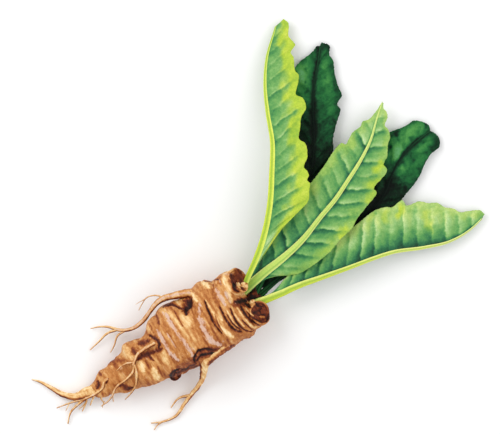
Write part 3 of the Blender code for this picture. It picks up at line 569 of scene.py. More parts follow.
sideRoots = dict(
    # name: points along the middle, radius at start, middle and tip, and how pink it is
    leftRoot=([(34, 27, 37), (26, 33, 38), (14, 38, 38), (3, 41.8, 36), (-8, 41, 32),
               (-18, 37, 28), (-28, 33.5, 23), (-38, 32.6, 18), (-48, 35.5, 14), (-56, 41.5, 10)],
              5.2, 2.3, 1.6, 0.9),
    leftForkA=([(-53, 39, 11.5), (-60, 47, 9), (-67, 51.5, 6), (-76, 55, 3)], 1.6, 1.0, 0.5, 0.1),
    leftForkB=([(-54, 40, 11), (-64, 42, 8), (-76, 39.5, 5), (-88, 37, 3)], 1.5, 1.0, 0.5, 0.1),
    leftForkC=([(-47, 34.8, 14.5), (-57, 34.5, 10), (-65, 28, 6), (-72, 24, 4)], 1.2, 0.9, 0.5, 0.5),
    leftHair=([(3, 43, 36), (-3, 49, 36), (-12, 51.5, 34), (-18, 49, 31), (-25, 45, 28)],
              0.9, 0.6, 0.4, 0.4),
    leftHairFork=([(-11, 51.2, 34), (-17, 51.4, 33), (-24, 51.6, 31.5)], 0.5, 0.35, 0.25, 0.2),
    rightRoot=([(36, -29, 38), (26, -30.5, 43.5), (16, -31.6, 45.5), (6, -33.4, 42.5), (1, -37, 34),
                (-3, -42, 23), (-8, -47, 14), (-15, -51, 9.5), (-24, -54, 7), (-36, -58.5, 5),
                (-50, -64.5, 3.5), (-64, -62.5, 3), (-75, -57.5, 3)], 6.6, 2.6, 0.6, 0.0),
    rightForkA=([(-27, -54.5, 6.5), (-38, -51, 5), (-50, -55, 3)], 1.6, 1.1, 0.5, 0.2),
    rightForkB=([(-64, -62.5, 3), (-70, -62.5, 2.5), (-76, -65, 2)], 0.8, 0.6, 0.4, 0.0),
    topRoot=([(-24, 9, 47), (-30, 9, 50), (-40, 9.5, 46), (-48, 8.5, 44.5), (-54, 5, 43.5),
              (-58, 1.5, 42.5)], 2.1, 1.8, 1.6, 0.8),
    topForkA=([(-55, 3, 42.8), (-61, 6, 41), (-68, 7, 36), (-75, 5.5, 33)], 1.2, 0.9, 0.6, 0.7),
    topForkB=([(-56, 3, 43), (-62, -4, 39.5), (-70, -6.5, 35.5), (-84, -8, 29.5), (-94, -14, 21),
               (-100, -16, 15), (-108, -16.5, 9)], 1.5, 1.2, 0.5, 0.7),
    topForkC=([(-57, 2, 43), (-60, -7, 39), (-65, -15, 32.5), (-74, -20.5, 22),
               (-84, -23.5, 13)], 1.5, 1.2, 0.5, 0.6),
    topHair=([(-88, -10.5, 26.5), (-93, -15, 21), (-95, -19, 15)], 0.7, 0.5, 0.4, 0.3),
    tailRoot=([(-86, 3, 24), (-90, 3.5, 26), (-97, -2, 20.5), (-105, -3, 15.5), (-118, -1.5, 10),
               (-130, 2, 7), (-147, 5.5, 3)], 1.7, 1.4, 0.5, 0.6),
    tailRootFork=([(-134, 2.5, 6.5), (-138, 0, 5), (-141, -2, 4)], 0.6, 0.45, 0.3, 0.3),
    tailForkA=([(-116, -1.5, 10), (-129, -3, 6), (-138, -6, 4), (-146, -14, 2.5)], 1.6, 1.2, 0.6, 0.4),
    tailForkB=([(-115, -1, 10), (-120, -6, 6), (-127, -11, 3)], 1.2, 0.9, 0.5, 0.2),
    tailForkC=([(-107, -3, 14), (-113, -7, 9), (-117, -10, 5)], 1.2, 0.8, 0.5, 0.2),
    tailForkD=([(-98, -5, 14), (-104, -10, 10), (-104, -16, 6)], 1.2, 0.9, 0.5, 0.2),
    tailForkE=([(-118, -4.5, 7.5), (-123, -6.5, 6), (-129, -7.4, 4.5)], 0.6, 0.45, 0.3, 0.1),
    tailForkF=([(-103, -14, 7), (-106, -16.5, 5), (-108, -18.5, 4)], 0.5, 0.4, 0.3, 0.1),
    tail=([(-92, 2, 11), (-104, 0, 10), (-112, 2.5, 8.5), (-124, 4.5, 7), (-133, 12, 5.5),
           (-142, 27, 4), (-147, 36, 3.5), (-153, 43, 3)], 7.5, 3.3, 0.6, 0.0),
)
# painted shade: the side roots are darkened towards these ways, the side turned from the light
shadeWays = dict(plain=(-0.85, -0.53), rosy=(-0.4, -0.92))   # towards a side root's darker side


def buildSideRoot(name, points, start, middle, tip, rosy, seed, material):
    # a tapering tube with a rough, slightly knotty skin: rosy on top, and painted shade darkens it to
    # brown along its lower side
    length = np.linalg.norm(np.diff(np.array(points, float), axis=0), axis=1).sum()
    shares = np.linspace(0, 1, max(24, round(length / 0.7)))
    path = curveThrough(points, shares)
    sides = 16 if start < 2 else 36
    turn = np.linspace(0, twoPi, sides, endpoint=False)[None, :]
    radii = np.interp(shares, (0, 0.5, 1), (start, middle, tip))[:, None]
    knots = 1 + 0.09 * mottle(path[:, :1], path[:, 1:2], path[:, 2:3] + 3 * turn, 9, seed)
    knots = knots + 0.05 * mottle(path[:, :1] + 2 * turn, path[:, 1:2], path[:, 2:3], 3.2, seed + 1)
    rings, out = ringsAlong(path, radii * knots, sides)
    ahead = np.gradient(path[:, :2], axis=0)
    beside = np.stack([-ahead[:, 1], ahead[:, 0]], axis=1) / np.linalg.norm(ahead, axis=1)[:, None]
    toward = beside @ np.array(shadeWays["rosy" if rosy > 0.3 else "plain"])
    beside *= np.clip(toward * 6, -1, 1)[:, None]
    lean = (out[..., :2] * beside[:, None]).sum(axis=2)
    rough = mottle(rings[..., 0], rings[..., 1], rings[..., 2], 12, seed + 2)
    streak = mottle(rings[..., 0] * 0.3, rings[..., 1] * 0.3, rings[..., 2] * 0.3 + 4 * turn, 3, seed + 3)
    # painted shade: darker along the side that faces shadeWays
    tone = 0.82 - 0.06 * rosy - 0.5 * smoothStep(0.2, 0.72, lean + 0.2 * rough)
    tone = tone + 0.10 * streak + 0.07 * rough - 0.25 * rosy * smoothStep(0.75, 1.0, -lean + 0.1 * rough)
    pink = rosy * smoothStep(0.45, 0.1, np.abs(lean + 0.25 + 0.1 * rough))
    fields = dict(tone=np.clip(tone, 0, 1), pink=pink)
    skin(name, rings, fields, material, "root")


def rootSkin():
    # corky skin: one ramp of tones from nearly black to cream, roughened by noise that is drawn
    # out round the root, with rosy streaks over it
    material, tree, shader = newMaterial("rootSkin")
    streaky = objectNoise(tree, 7, (2.6, 0.8, 0.8), 5, 0.6, 0.4)
    blotchy = objectNoise(tree, 3.2, (1.4, 1, 1), 4, 0.65, 0.3)
    grain = objectNoise(tree, 1.3, (1.3, 1, 1), 3, 0.6)
    spread = calc(tree, "MULTIPLY", calc(tree, "SUBTRACT", streaky, 0.5), 0.55)
    blotches = calc(tree, "MULTIPLY", calc(tree, "SUBTRACT", blotchy, 0.5), 0.34)
    spread = calc(tree, "ADD", spread, blotches)
    tone = calc(tree, "ADD", readField(tree, "tone"), spread)
    color = rampOf(tree, tone, [
        (0.0, "120605"), (0.14, "36130A"), (0.28, "672812"), (0.4, "8C451D"), (0.52, "AE6A30"),
        (0.64, "C6864A"), (0.76, "DCAA6C"), (0.88, "EFCB92"), (1.0, "FBE3B8")])
    torn = calc(tree, "MULTIPLY", calc(tree, "SUBTRACT", streaky, 0.5), 2.2)
    pushed = calc(tree, "ADD", readField(tree, "pink"), torn)
    torn = calc(tree, "MULTIPLY", calc(tree, "SUBTRACT", blotchy, 0.5), 1.2)
    pushed = calc(tree, "ADD", pushed, torn)
    rosy = rampOf(tree, streaky, [(0.35, "CFA896"), (0.55, "DDBBA6"), (0.75, "C6AEAE")])
    color = blendColors(tree, rampOf(tree, pushed, [(0.35, 0.0), (0.85, 0.85)]), color, rosy)
    speck = rampOf(tree, grain, [(0.3, 0.8), (0.5, 1.0), (0.72, 1.12)])
    color = blendColors(tree, 0.7, color, speck, "MULTIPLY")
    tree.links.new(color, shader.inputs["Base Color"])
    tree.links.new(rampOf(tree, grain, [(0.3, 0.72), (0.7, 0.55)]), shader.inputs["Roughness"])
    shader.inputs["Specular IOR Level"].default_value = 0.25
    height = calc(tree, "ADD", calc(tree, "MULTIPLY", streaky, 0.8), calc(tree, "MULTIPLY", grain, 0.4))
    addBump(tree, shader, height, 0.5, 0.5)
    return material


# The leaves. rib: points along the midrib; width: of the midrib along its length; left and
# right: the toothed edge from foot to tip. A folded leaf has its other half under the shown one.
# washes: tone, half-width and the way of a broad brush, some of them painted shadow where another leaf
# lies over this one; golden: the same with a strength.

leaves = dict(
    leafFrontLeft=dict(
        node="leaf_front_left", folded=1, slope=-0.12, veins=18, lean=1.12, sweep=0.75, tooth=0.35,
        tones=(0.46, 0.58, 0.62), gold=1.15,
        width=(5.0, 6.2, 5.6, 3.8, 1.4),
        rib=[(80, 12, 40.5), (87, 16.8, 42.5), (100, 25.5, 46.5), (120, 41.7, 50), (140, 63, 51),
             (160, 90.7, 47.5), (177, 117, 41), (188, 143, 33), (201, 169, 26), (216, 190, 19),
             (241, 213, 10)],
        right=[(90, 16), (102, 22), (120, 30), (140, 38.5), (160, 43.5), (177, 48.5), (183, 57),
               (187, 62), (186, 66), (190, 69), (191, 74), (190, 78), (199, 86), (204, 98),
               (201, 105), (208, 114), (214, 122), (224, 128), (226, 138), (222, 144),
               (231, 154), (235, 160), (234, 164), (240, 178), (240, 183), (248, 187),
               (247, 198), (254, 210), (252, 215.5)],
        washes=[(0.80, 6, [(104, 25), (126, 37)]), (0.44, 4, [(124, 44), (138, 58)]),
                (0.50, 7, [(150, 74), (164, 92)]), (0.44, 5, [(192, 104), (200, 112)]),
                (0.48, 6, [(172, 108), (186, 134)]), (0.55, 8, [(206, 170), (222, 186)])],
        golden=[(1.0, 9, [(176, 56), (160, 47)]), (0.5, 6, [(186, 84), (182, 76)]),
                (1.0, 6, [(198, 96), (203, 101)]), (0.9, 6, [(218, 132), (222, 140)]),
                (0.9, 6, [(226, 156), (236, 170)]), (0.9, 6, [(236, 196), (248, 206)])]),
    leafFrontMiddle=dict(
        node="leaf_front_middle", folded=0, slope=-0.1, veins=15, lean=1.15, sweep=0.0, tooth=0.55,
        tones=(0.34, 0.54, 0.62), gold=0.4,
        width=(9.5, 8.4, 5.0, 3.6, 1.0),
        rib=[(79, 7, 29.5), (86, 8.2, 31.5), (105, 11, 36), (120, 12.5, 38.5), (150, 18, 38.5),
             (180, 28.5, 34), (200, 35, 31), (220, 44, 28), (240, 53.5, 25), (260, 65.5, 22),
             (280, 83, 18), (291, 92, 15)],
        left=[(88, 15), (104, 24), (118, 32.5), (134, 42), (152, 50), (170, 57), (190, 62.5),
              (210, 70), (224, 76.5), (236, 79), (237, 76.5), (250, 82.5), (260, 83.5),
              (265, 86.5), (270, 85), (280, 87.5), (292, 93)],
        right=[(92, 5), (104, 4), (112, 0), (119, -4), (130, -8.5), (150, -8.8), (168, -6.5),
               (185, -1), (200, 2), (206, 6), (220, 11.5), (236, 17), (239, 19), (238, 23),
               (252, 28.5), (259, 31.5), (260, 35), (259, 38), (267, 44), (274, 54), (279, 58),
               (282, 66), (281, 71), (288, 77), (290, 82), (289, 86), (292, 91)],
        # painted shadow: the first two washes darken the blade along the front left leaf's edge and at the
        # foot beneath it
        washes=[(0.34, 12, [(108, 20), (150, 36)]), (0.06, 7, [(88, 12), (100, 17), (110, 24)]),
                (0.55, 8, [(112, 3), (130, -2)]), (0.42, 10, [(140, 2), (170, 14)]),
                (0.56, 12, [(180, 44), (240, 70)]), (0.5, 10, [(190, 18), (240, 38)]),
                (0.72, 9, [(262, 74), (290, 90)]), (0.6, 8, [(262, 50), (276, 66)])],
        golden=[(0.9, 6, [(193, 4), (184, 0)]), (0.6, 6, [(172, -2), (160, -4)]),
                (0.8, 6, [(236, 20), (226, 16)]), (0.9, 6, [(246, 29), (238, 27)]),
                (0.9, 5, [(258, 40), (250, 38)]), (0.35, 8, [(250, 78), (285, 88)]),
                (0.45, 5, [(196, 62), (212, 68)]), (0.5, 4, [(226, 76), (235, 77)])]),
    leafFrontRight=dict(
        node="leaf_front_right", folded=-1, slope=-0.15, veins=17, lean=1.12, sweep=-0.1, tooth=0.4,
        tones=(0.20, 0.56, 0.74), gold=0.4,
        width=(8.6, 6.8, 4.4, 3.4, 1.4),
        rib=[(79, -11.5, 32.5), (86, -12.6, 33), (105, -16, 33), (120, -18, 32.3),
             (150, -24.5, 30.8), (180, -31, 29), (200, -35, 26.5), (220, -40, 23),
             (250, -53, 17.5), (275, -61.5, 13), (298, -62.5, 9.5), (314, -59.5, 8)],
        left=[(92, -12.5), (101, -11.5), (105, -9.8), (110, -7), (119, -4.5), (138, -2), (160, -1),
              (185, 1), (205, 2.5),
              (229, 4.5), (240, 1), (243, -1.5), (257, -1.5), (257, -7.5), (271, -11.5),
              (277, -17.5), (285, -22), (289, -30), (296, -36), (299, -42), (308, -46),
              (318, -52), (319, -57)],
        # painted shadow: the wash at y -8, along the middle leaf's edge, darkens this leaf where that leaf
        # lies over it
        washes=[(0.52, 5, [(106, -13), (118, -10)]), (0.30, 8, [(124, -14), (180, -26)]),
                (0.24, 7, [(180, -26), (250, -48)]), (0.30, 5, [(140, -8), (160, -8)]),
                (0.66, 9, [(184, -8), (240, -12)]), (0.74, 10, [(250, -20), (290, -42)]),
                (0.6, 6, [(280, -54), (312, -56)])],
        golden=[(1.0, 5, [(252, -7), (246, -12)]), (0.7, 5, [(236, -2), (231, -8)]),
                (0.7, 6, [(270, -24), (265, -38)]), (0.5, 5, [(284, -32), (280, -40)]),
                (0.6, 4, [(224, 2), (216, 0)]), (0.4, 5, [(306, -50), (316, -54)]),
                (0.4, 4, [(196, 0), (206, -4)])]),
    leafBackLeft=dict(
        node="leaf_back_left", folded=0, slope=-0.05, veins=16, lean=1.1, sweep=0.35, tooth=0.6,
        tones=(0.08, 0.10, 0.08),
        width=(7.0, 4.2, 3.0, 2.2, 1.2),
        rib=[(88, 1, 22), (100, 8, 21.5), (130, 22, 20), (160, 40, 18), (190, 67, 15.5),
             (203, 82, 14), (217, 103, 12), (228, 122, 10.5), (240, 140, 9), (258, 160, 7),
             (268, 172, 6)],
        left=[(95, 9), (130, 25), (160, 44), (180, 64), (188, 80), (196, 100), (206, 120),
              (216, 138), (226, 155), (236, 168), (246, 171), (258, 172), (266, 175)],
        right=[(95, 3.5), (130, 18), (160, 36), (186, 60.5), (200, 65.5), (214, 70.5),
               (224, 77), (230, 87), (243, 100), (252.5, 109), (252, 114), (261, 119.5),
               (263, 131), (267, 143), (272, 154), (272, 161), (277, 168), (272, 175.5)],
        washes=[(0.42, 22, [(250, 165), (240, 130)]), (0.30, 12, [(240, 120), (226, 96)]),
                (0.85, 7, [(240, 163), (236, 154), (231, 148)]), (0.5, 6, [(232, 146), (222, 132)]),
                (0.66, 8, [(264, 154), (256, 136)]), (0.46, 6, [(252, 126), (246, 114)]),
                (0.26, 5, [(268, 150), (262, 128), (250, 108)]),
                # painted shade: these near-black washes darken the midrib groove and the lower blade where
                # the front left leaf lies over it
                (0.10, 3, [(262, 166), (246, 148), (232, 126)]),
                (0.05, 5, [(228, 122), (212, 96), (196, 72)]), (0.04, 4, [(204, 100), (196, 84)])],
        golden=[(0.25, 8, [(262, 152), (256, 138)])]),
    leafBackRight=dict(
        node="leaf_back_right", folded=0, slope=-0.04, veins=14, lean=1.1, sweep=0.35, tooth=0.5,
        tones=(0.08, 0.10, 0.08),
        width=(6.4, 4.4, 3.0, 2.2, 1.2),
        rib=[(88, -6, 17), (100, -4, 16.5), (119, -1.5, 16), (150, 1, 15), (180, 3, 13.5),
             (206, 5, 12), (228, 8, 11), (245, 14, 10), (260, 25, 9.5), (275, 34, 9),
             (295, 40, 7.5), (317, 43, 6)],
        left=[(89, 0.5), (97, 4.6), (105, 6), (119, 6.5), (150, 7), (180, 8), (200, 17), (220, 31),
              (245, 48),
              (266, 59), (281, 63), (298, 60), (309, 60), (315, 55), (319, 48), (318, 44.5)],
        right=[(90, -6.2), (97, -5.4), (104, -5.2), (114, -5.4), (124, -5.4), (150, -4), (180, -1.5),
               (206, -4), (225, -7),
               (245, -4.5), (262, 1.5), (277, 6.5), (286, 11), (295, 17.5), (305, 22.5),
               (317, 24.5), (321, 31), (320, 38), (317.5, 42)],
        washes=[(0.30, 3.5, [(90, -4.5), (104, -4.5)]), (0.16, 3, [(106, 1), (122, 3)]),
                (0.40, 20, [(262, 40), (310, 40)]), (0.34, 12, [(270, 14), (290, 24)]),
                (0.74, 8, [(310, 54), (290, 50), (276, 42)]), (0.86, 4, [(282, 42), (276, 38)]),
                (0.30, 3, [(312, 60), (284, 62), (262, 56)]), (0.62, 3.5, [(311, 34.5), (297, 32.5)]),
                (0.70, 5, [(273, 25), (268, 22)]), (0.48, 6, [(284, 18), (296, 26)]),
                # painted shade: the near-black washes darken the midrib groove and the foot, where it lies
                # between and under the front leaves
                (0.10, 2.6, [(317, 42), (300, 41), (286, 38.5), (272, 32)]),
                (0.14, 3, [(319, 30), (314, 26)]),
                (0.06, 7, [(262, 20), (248, 6)]), (0.05, 8, [(250, 14), (230, 8)]),
                (0.22, 4, [(262, 36), (256, 26)])],
        golden=[(0.3, 8, [(308, 54), (290, 50)])]),
)
# What all leaves share, in mm. socket is how far a stalk goes into the crown. The blade is 1.3
# times thick beside the midrib and 0.6 times at its edge. pleat and wave are heights.
leafSheet = dict(rows=290, across=32, ribAcross=11, socket=10.0, thick=0.5, hiddenShare=0.62,
                 toothPitch=5.2, pleat=3.6, wave=1.2, pleatPhase=0.12, washReach=2.6)


def leafEdge(points, shares, tooth, seed):
    # The leaf's edge: a smooth line drawn a little towards its straight chords, with a fine saw
    # of small teeth that point to the tip, of uneven pitch and size
    p = np.array(points, float)
    knots = np.concatenate([[0], np.cumsum(np.linalg.norm(np.diff(p, axis=0), axis=1))])
    straight = np.stack([np.interp(shares, knots / knots[-1], p[:, i]) for i in (0, 1)], axis=1)
    line = 0.3 * straight + 0.7 * curveThrough(points, shares)
    forward = np.gradient(line, axis=0)
    forward /= np.linalg.norm(forward, axis=1)[:, None]
    outward = np.stack([-forward[:, 1], forward[:, 0]], axis=1)
    outward *= np.sign(((line - line.mean(axis=0)) * outward).sum())
    random = np.random.default_rng(seed)
    place = shares * knots[-1] / leafSheet["toothPitch"]
    place = place + 0.5 * np.interp(place, np.arange(90), random.normal(size=90))
    size = tooth * np.interp(place, np.arange(90), random.uniform(0.5, 1.5, 90))
    saw = np.abs((place % 1) ** 1.5 - 0.4) * 1.6 - 0.4
    return line + outward * (size * saw * smoothStep(0.03, 0.12, shares))[:, None]


def leafHalf(leaf, side, way, rib, leftWay, width, shares, edge):
    # One half of the blade from the midrib's edge to the leaf's edge. Across it runs q from 0
    # to 1. Its height is the midrib's, plus a slope, plus pleats: a sine along the leaf that
    # leans forward with q and is widest halfway across, plus a slow wave at the edge.
    hidden = side not in leaf
    stalkCount = len(shares) - len(edge)
    facing = -way if hidden else way
    wing = rib[:, :2] + leftWay * (facing * (width / 2 + 0.5))[:, None]
    rim = np.concatenate([wing[:stalkCount], edge])
    reach = (rim - rib[:, :2]) * (leafSheet["hiddenShare"] if hidden else 1.0)
    span = np.linalg.norm(reach, axis=1)[:, None]
    depth = np.maximum(0.6 * width, 2.8)[:, None]
    start = rib[:, :2] + leftWay * (way * width * (0.36 if hidden else 0.5))[:, None]
    q = np.linspace(0, 1, leafSheet["across"])[None, :]
    s = shares[:, None]
    level = rib[:, 2:3]
    phase = leaf["veins"] * s - leaf["sweep"] * q
    wide = np.clip(span / 15, 0, 1)
    force = np.random.default_rng(leaf["veins"] * 7 + way).uniform(0.25, 1.0, leaf["veins"] + 2)
    place = np.maximum(phase + 0.4, 0)
    low, part = np.floor(place).astype(int), smoothStep(0.75, 1.0, place % 1)
    force = force[low] + (force[np.minimum(low + 1, leaf["veins"] + 1)] - force[low]) * part
    ridge = np.sin(twoPi * (phase - leafSheet["pleatPhase"])) + 0.2 * np.sin(2 * twoPi * phase)
    pleat = leafSheet["pleat"] * q * (1 - 0.9 * q) * ridge * wide
    wave = leafSheet["wave"] * q ** 2 * np.sin(twoPi * (leaf["veins"] * 0.37 * s + way * 0.2))
    height = level + leaf["slope"] * span * q ** 1.5 + wave * np.clip(span / 25, 0, 1) + 0.9 * pleat
    if hidden:
        room = np.maximum(level - depth - 1.6, 0)
        fall = np.minimum(0.42 * span, room) * np.clip((span - 4) / 8, 0, 1)
        height = level - depth - fall * q + 0.35 * pleat
    plan = start[:, None] + (rib[:, None, :2] + reach[:, None] - start[:, None]) * q[..., None]
    upper = np.concatenate([plan, height[..., None]], axis=2)
    thick = leafSheet["thick"] * (1.3 - 0.7 * q)
    lower = upper - np.array([0, 0, 1.0]) * (thick * (-1 if hidden else 1))[..., None]
    return upper, lower, q + 0 * phase, phase, wide * force


def midrib(leaf, rib, leftWay, width):
    # The stalk and midrib: a low arch on top and a deeper one below. On a folded leaf the arch
    # turns over the fold, with the crotch between the halves under it.
    t = np.linspace(-1, 1, leafSheet["ribAcross"])[None, :]
    w = width[:, None]
    across = leftWay[:, None]
    level = rib[:, 2:3]
    if not leaf["folded"]:
        plan = rib[:, None, :2] - across * (0.5 * w * t)[..., None]
        upper = level + 0.18 * w * np.sqrt(1 - t ** 2)
        lower = level - 0.5 * w * np.sqrt(1 - t ** 2) - 0.7
        return (np.concatenate([plan, upper[..., None]], axis=2),
                np.concatenate([plan, lower[..., None]], axis=2), t)
    way = leaf["folded"]
    depth = np.maximum(0.6 * w, 2.8)
    turn = t * way * 0.5 * math.pi     # from the hidden half's side to the open half's
    out = 0.5 * np.cos(turn) - 0.5 * np.sin(turn) ** 2
    plan = rib[:, None, :2] + across * (way * w * out)[..., None]
    openSide = 0.5 + 0.5 * np.sin(turn)
    upper = level - depth * (1 - openSide) + 0.12 * w * np.cos(turn)
    inner = rib[:, None, :2] - across * (way * w * (0.5 + 0 * t))[..., None]
    low = level - depth * 0.5 + (openSide - 0.5) * 0.9 * (depth - 1.6)
    return (np.concatenate([plan, upper[..., None]], axis=2),
            np.concatenate([inner, low[..., None]], axis=2), t * way)


def leafWashes(leaf, x, y, q, ribMask):
    # tone by place across the blade, then the broad brushes over it; golden the same way
    ragged = 1 + 0.35 * mottle(x, y, 0 * x, 12, 71) + 0.25 * mottle(x, y, 0 * x, 5, 74)
    low, middle, high = leaf["tones"]
    tone = np.interp(q, (0, 0.5, 1), (low, middle, high)) + 0.05 * mottle(x, y, 0 * x, 18, 72)
    gold = leaf.get("gold", 0.0) * smoothStep(0.22, 0.9, q + 0.12 * mottle(x, y, 0 * x, 16, 73))
    for value, width, points in leaf["washes"]:
        spot, gap, _ = nearStroke(x, y, points, leafSheet["washReach"] * width)
        tone[spot] += (value - tone[spot]) * 0.85 * np.exp(-np.abs(gap / (width * ragged[spot])) ** 2)
    for value, width, points in leaf["golden"]:
        spot, gap, _ = nearStroke(x, y, points, leafSheet["washReach"] * width)
        gold[spot] = np.maximum(gold[spot], value * np.exp(-(gap / (width * ragged[spot])) ** 2))
    return tone, gold * (1 - ribMask)


def buildLeaf(name, leaf, material, seed):
    points = [np.array(p, float) for p in leaf["rib"]]
    step = (points[1] - points[0]) / np.linalg.norm(points[1] - points[0])
    line = [points[0] - step * leafSheet["socket"], *points]
    length = sum(np.linalg.norm(b - a) for a, b in zip(line, line[1:]))
    begin = (leafSheet["socket"] + 6) / length
    blade = np.linspace(0, 1, leafSheet["rows"])
    shares = np.concatenate([np.linspace(0, 0.92, 14) * begin,
                             begin + (1 - begin) * blade ** leaf["lean"]])
    rib = curveThrough(line, shares)
    forward = curveThrough(line, np.clip(shares + 0.01, 0, 1)) \
        - curveThrough(line, np.clip(shares - 0.01, 0, 1))
    forward = forward[:, :2] / np.linalg.norm(forward[:, :2], axis=1)[:, None]
    leftWay = np.stack([-forward[:, 1], forward[:, 0]], axis=1)
    width = np.interp(shares, (0, 0.15, 0.4, 0.7, 1), leaf["width"])
    halves = {}
    for side, way in (("left", 1), ("right", -1)):
        shown = side if side in leaf else ("right" if side == "left" else "left")
        edge = leafEdge(leaf[shown], blade, leaf["tooth"], seed + way)
        halves[side] = leafHalf(leaf, side, way, rib, leftWay, width, shares, edge)
    left, right = halves["left"], halves["right"]
    upperRib, lowerRib, t = midrib(leaf, rib, leftWay, width)
    top = np.concatenate([left[0][:, ::-1], upperRib, right[0]], axis=1)
    low = np.concatenate([left[1][:, ::-1], lowerRib, right[1]], axis=1)
    rings = np.concatenate([top, low[:, ::-1]], axis=1)
    mid = np.ones((len(shares), leafSheet["ribAcross"]))

    def spread(leftPart, ribPart, rightPart):
        face = np.concatenate([leftPart[:, ::-1], ribPart, rightPart], axis=1)
        return np.concatenate([face, face[:, ::-1]], axis=1)

    across = spread(left[2], 0 * mid, right[2])
    ribMask = spread(0 * left[2], mid, 0 * right[2])
    tone, gold = leafWashes(leaf, rings[..., 0], rings[..., 1], across, ribMask)
    fields = dict(across=across, phase=spread(left[3], 0.25 * mid, right[3]), rib=ribMask,
                  wide=spread(left[4], 0 * mid, right[4]), along=shares[:, None] + 0 * across,
                  ribPlace=spread(0 * left[2] - 1, t * mid, 0 * right[2] + 1), tone=tone, gold=gold)
    skin(name, rings, fields, material, leaf["node"])


def leafGreen(name, look):
    # Green by tone, from deep blue-green to pale, and gold laid over it. Each side vein is a dark
    # line, sharp on the tip side, with a pale lens beside it; both fade towards the edge. The dark
    # line is partly the vein's own darker green and partly painted shade in its groove; the pale
    # lens is a painted highlight on the puckered blade beside it. The midrib is a bright strip
    # with a thin green line along it.
    material, tree, shader = newMaterial(name)
    cloud = objectNoise(tree, 11, detail=5, rough=0.6)
    fine = objectNoise(tree, 3.0, detail=4, rough=0.7)
    grain = objectNoise(tree, 1.2, detail=2, rough=0.7)
    jitter = calc(tree, "SUBTRACT", cloud, 0.5)
    across, along, rib = (readField(tree, label) for label in ("across", "along", "rib"))

    def times(first, second):
        return calc(tree, "MULTIPLY", first, second)

    def plus(first, second):
        return calc(tree, "ADD", first, second)

    beat = calc(tree, "FRACT", plus(readField(tree, "phase"), times(jitter, 0.55)))
    strength = rampOf(tree, plus(cloud, fine), [(0.35, 0.45), (0.6, 1.0)])
    wide = times(readField(tree, "wide"), strength)
    # painted shade, over the vein's own darker green: the dark vein line
    line = rampOf(tree, beat, [(0.0, 1.0), (0.06, 0.85), (0.17, 0.0), (0.66, 0.0), (0.86, 0.55),
                               (1.0, 1.0)])
    line = times(line, rampOf(tree, across, [(0.0, 0.7), (0.12, 1.0), (0.65, 0.8), (0.97, 0.1)]))
    highlightLensWidth, highlightLensEnd = look["highlightLensWidth"], look["highlightLensEnd"]
    # painted highlight: the pale lens beside each vein
    lens = rampOf(tree, beat, [(0.07, 0.0), (0.19, 1.0), (highlightLensWidth * 0.6, 0.6), (highlightLensWidth, 0.0)])
    fade = rampOf(tree, across, [(0.03, 0.0), (0.16, 1.0), (highlightLensEnd, 0.8), (highlightLensEnd + 0.3, 0.05)])
    lens = times(lens, fade)
    ribShade = rampOf(tree, across, [(0.0, 1.0), (0.14, 0.0)])
    shift = times(times(line, wide), -look["line"])
    shift = plus(shift, times(times(lens, wide), look["lens"]))
    shift = plus(shift, times(ribShade, -look["ribShade"]))
    shift = plus(shift, times(jitter, 0.42))
    shift = plus(shift, times(calc(tree, "SUBTRACT", fine, 0.5), 0.38))
    tone = plus(readField(tree, "tone"), shift)
    color = rampOf(tree, tone, look["greens"])
    golden = plus(readField(tree, "gold"), times(jitter, 0.5))
    golden = calc(tree, "SUBTRACT", golden, times(times(line, wide), 0.5))
    color = blendColors(tree, rampOf(tree, golden, [(0.15, 0.0), (0.9, 0.95)]), color,
                        rampOf(tree, tone, look["golds"]))
    strip = rampOf(tree, along, look["strip"])
    place = plus(readField(tree, "ribPlace"), times(jitter, 0.25))
    off = calc(tree, "ABSOLUTE", calc(tree, "SUBTRACT", place, look["grooveAt"]))
    groove = times(rampOf(tree, off, [(0.05, 1.0), (0.28, 0.0)]), look["groove"])
    strip = blendColors(tree, groove, strip, hexColor(look["grooveTint"]))
    rimLight = rampOf(tree, calc(tree, "ABSOLUTE", place), [(0.6, 0.0), (0.9, look["rimLight"])])
    strip = blendColors(tree, rimLight, strip, hexColor(look["rimTint"]))
    color = blendColors(tree, rib, color, strip)
    speck = rampOf(tree, grain, [(0.3, 0.82), (0.5, 1.0), (0.72, 1.12)])
    color = blendColors(tree, 0.75, color, speck, "MULTIPLY")
    tree.links.new(color, shader.inputs["Base Color"])
    tree.links.new(rampOf(tree, grain, [(0.3, 0.62), (0.7, 0.48)]), shader.inputs["Roughness"])
    shader.inputs["Specular IOR Level"].default_value = look["gloss"]
    addBump(tree, shader, plus(fine, grain), 0.3, 0.3)
    return material


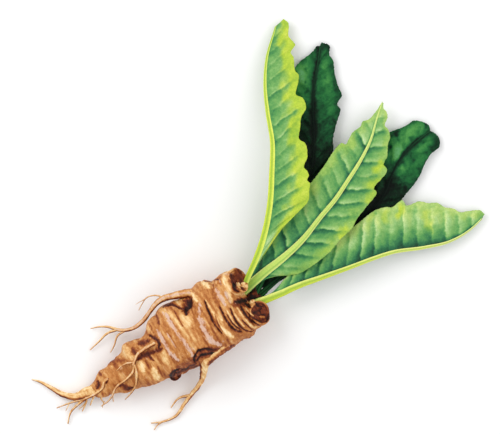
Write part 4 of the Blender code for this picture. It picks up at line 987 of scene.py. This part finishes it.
brightGreens = [(0.0, "133F28"), (0.14, "1E5C3A"), (0.28, "357848"), (0.42, "54944F"), (0.56, "74A95C"),
                (0.7, "92BC74"), (0.85, "B2D190"), (1.0, "D8EABC")]
brightGolds = [(0.2, "5C9434"), (0.42, "8DB43A"), (0.62, "B4CB3C"), (0.9, "DCE05C")]
frontLook = dict(
    greens=brightGreens, golds=brightGolds, highlightLensWidth=0.34, highlightLensEnd=0.5, line=0.20, lens=0.26,
    ribShade=0.06,
    strip=[(0.0, "9DB83A"), (0.08, "C3D43A"), (0.5, "D6E045"), (0.85, "CFDD50"), (1.0, "B4CC50")],
    gloss=0.2, grooveAt=0.52, groove=0.75, grooveTint="86B03C", rimLight=0.5, rimTint="E4EC7C")
middleLook = dict(
    frontLook, highlightLensWidth=0.5, highlightLensEnd=0.5, line=0.34, lens=0.36, ribShade=0.18,
    strip=[(0.0, "86AE44"), (0.08, "A6C858"), (0.16, "BAD466"), (0.4, "BFD568"), (0.7, "CCDC72"),
           (1.0, "D2E288")],
    grooveAt=0.35, groove=0.6, grooveTint="80AE4E", rimLight=0.7, rimTint="E0E88C")
rightLook = dict(
    frontLook, highlightLensWidth=0.55, highlightLensEnd=0.85, line=0.26, lens=0.28, ribShade=0.14,
    strip=[(0.0, "A4BA34"), (0.1, "BED03A"), (0.4, "CEDB52"), (0.8, "E2E884"), (1.0, "DDE69A")],
    grooveAt=0.55, groove=0.65, grooveTint="86AC40", rimLight=0.6, rimTint="EBEF94")
# painted shade: on the back leaves the midrib strip and its groove are near black
darkLook = dict(
    frontLook, gloss=0.08, highlightLensWidth=0.5, highlightLensEnd=0.7, line=0.07, lens=0.06, ribShade=0.10,
    greens=[(0.0, "060E09"), (0.12, "0C2415"), (0.26, "154427"), (0.4, "206232"), (0.55, "33783C"),
            (0.7, "4C9048"), (0.85, "5F9F66"), (1.0, "86BA8E")],
    golds=[(0.2, "3F8338"), (0.7, "5FA04A"), (1.0, "86BA6A")],
    strip=[(0.0, "2C6A36"), (0.1, "1B4A28"), (0.25, "08160D"), (0.7, "050F0A"), (0.88, "0C2C1B"),
           (1.0, "18522C")],
    grooveAt=0.0, groove=0.9, grooveTint="040C08", rimLight=0.5, rimTint="0B2A18")


setCamera()
setLights()
layFloor()
print("stage set")

barkMaterial = rootSkin()
buildBody(barkMaterial)
for label in ("upperHead", "lowerHead", "backHead", "stump"):
    buildHead(label, crownHeads[label], barkMaterial)
for number, (label, (middle, size, turned)) in enumerate(budScales.items()):
    buildScale(label, middle, size, turned, number, barkMaterial)
for number, (label, spec) in enumerate(sideRoots.items()):
    buildSideRoot(label, *spec, 40 + number, barkMaterial)
print("root built")

finishes = dict(leafFrontLeft=leafGreen("leftLeafGreen", frontLook),
                leafFrontMiddle=leafGreen("middleLeafGreen", middleLook),
                leafFrontRight=leafGreen("rightLeafGreen", rightLook),
                leafBackLeft=leafGreen("backLeafGreen", darkLook))
finishes["leafBackRight"] = finishes["leafBackLeft"]
for number, (label, leaf) in enumerate(leaves.items()):
    buildLeaf(label, leaf, finishes[label], 80 + number)
print("leaves built")
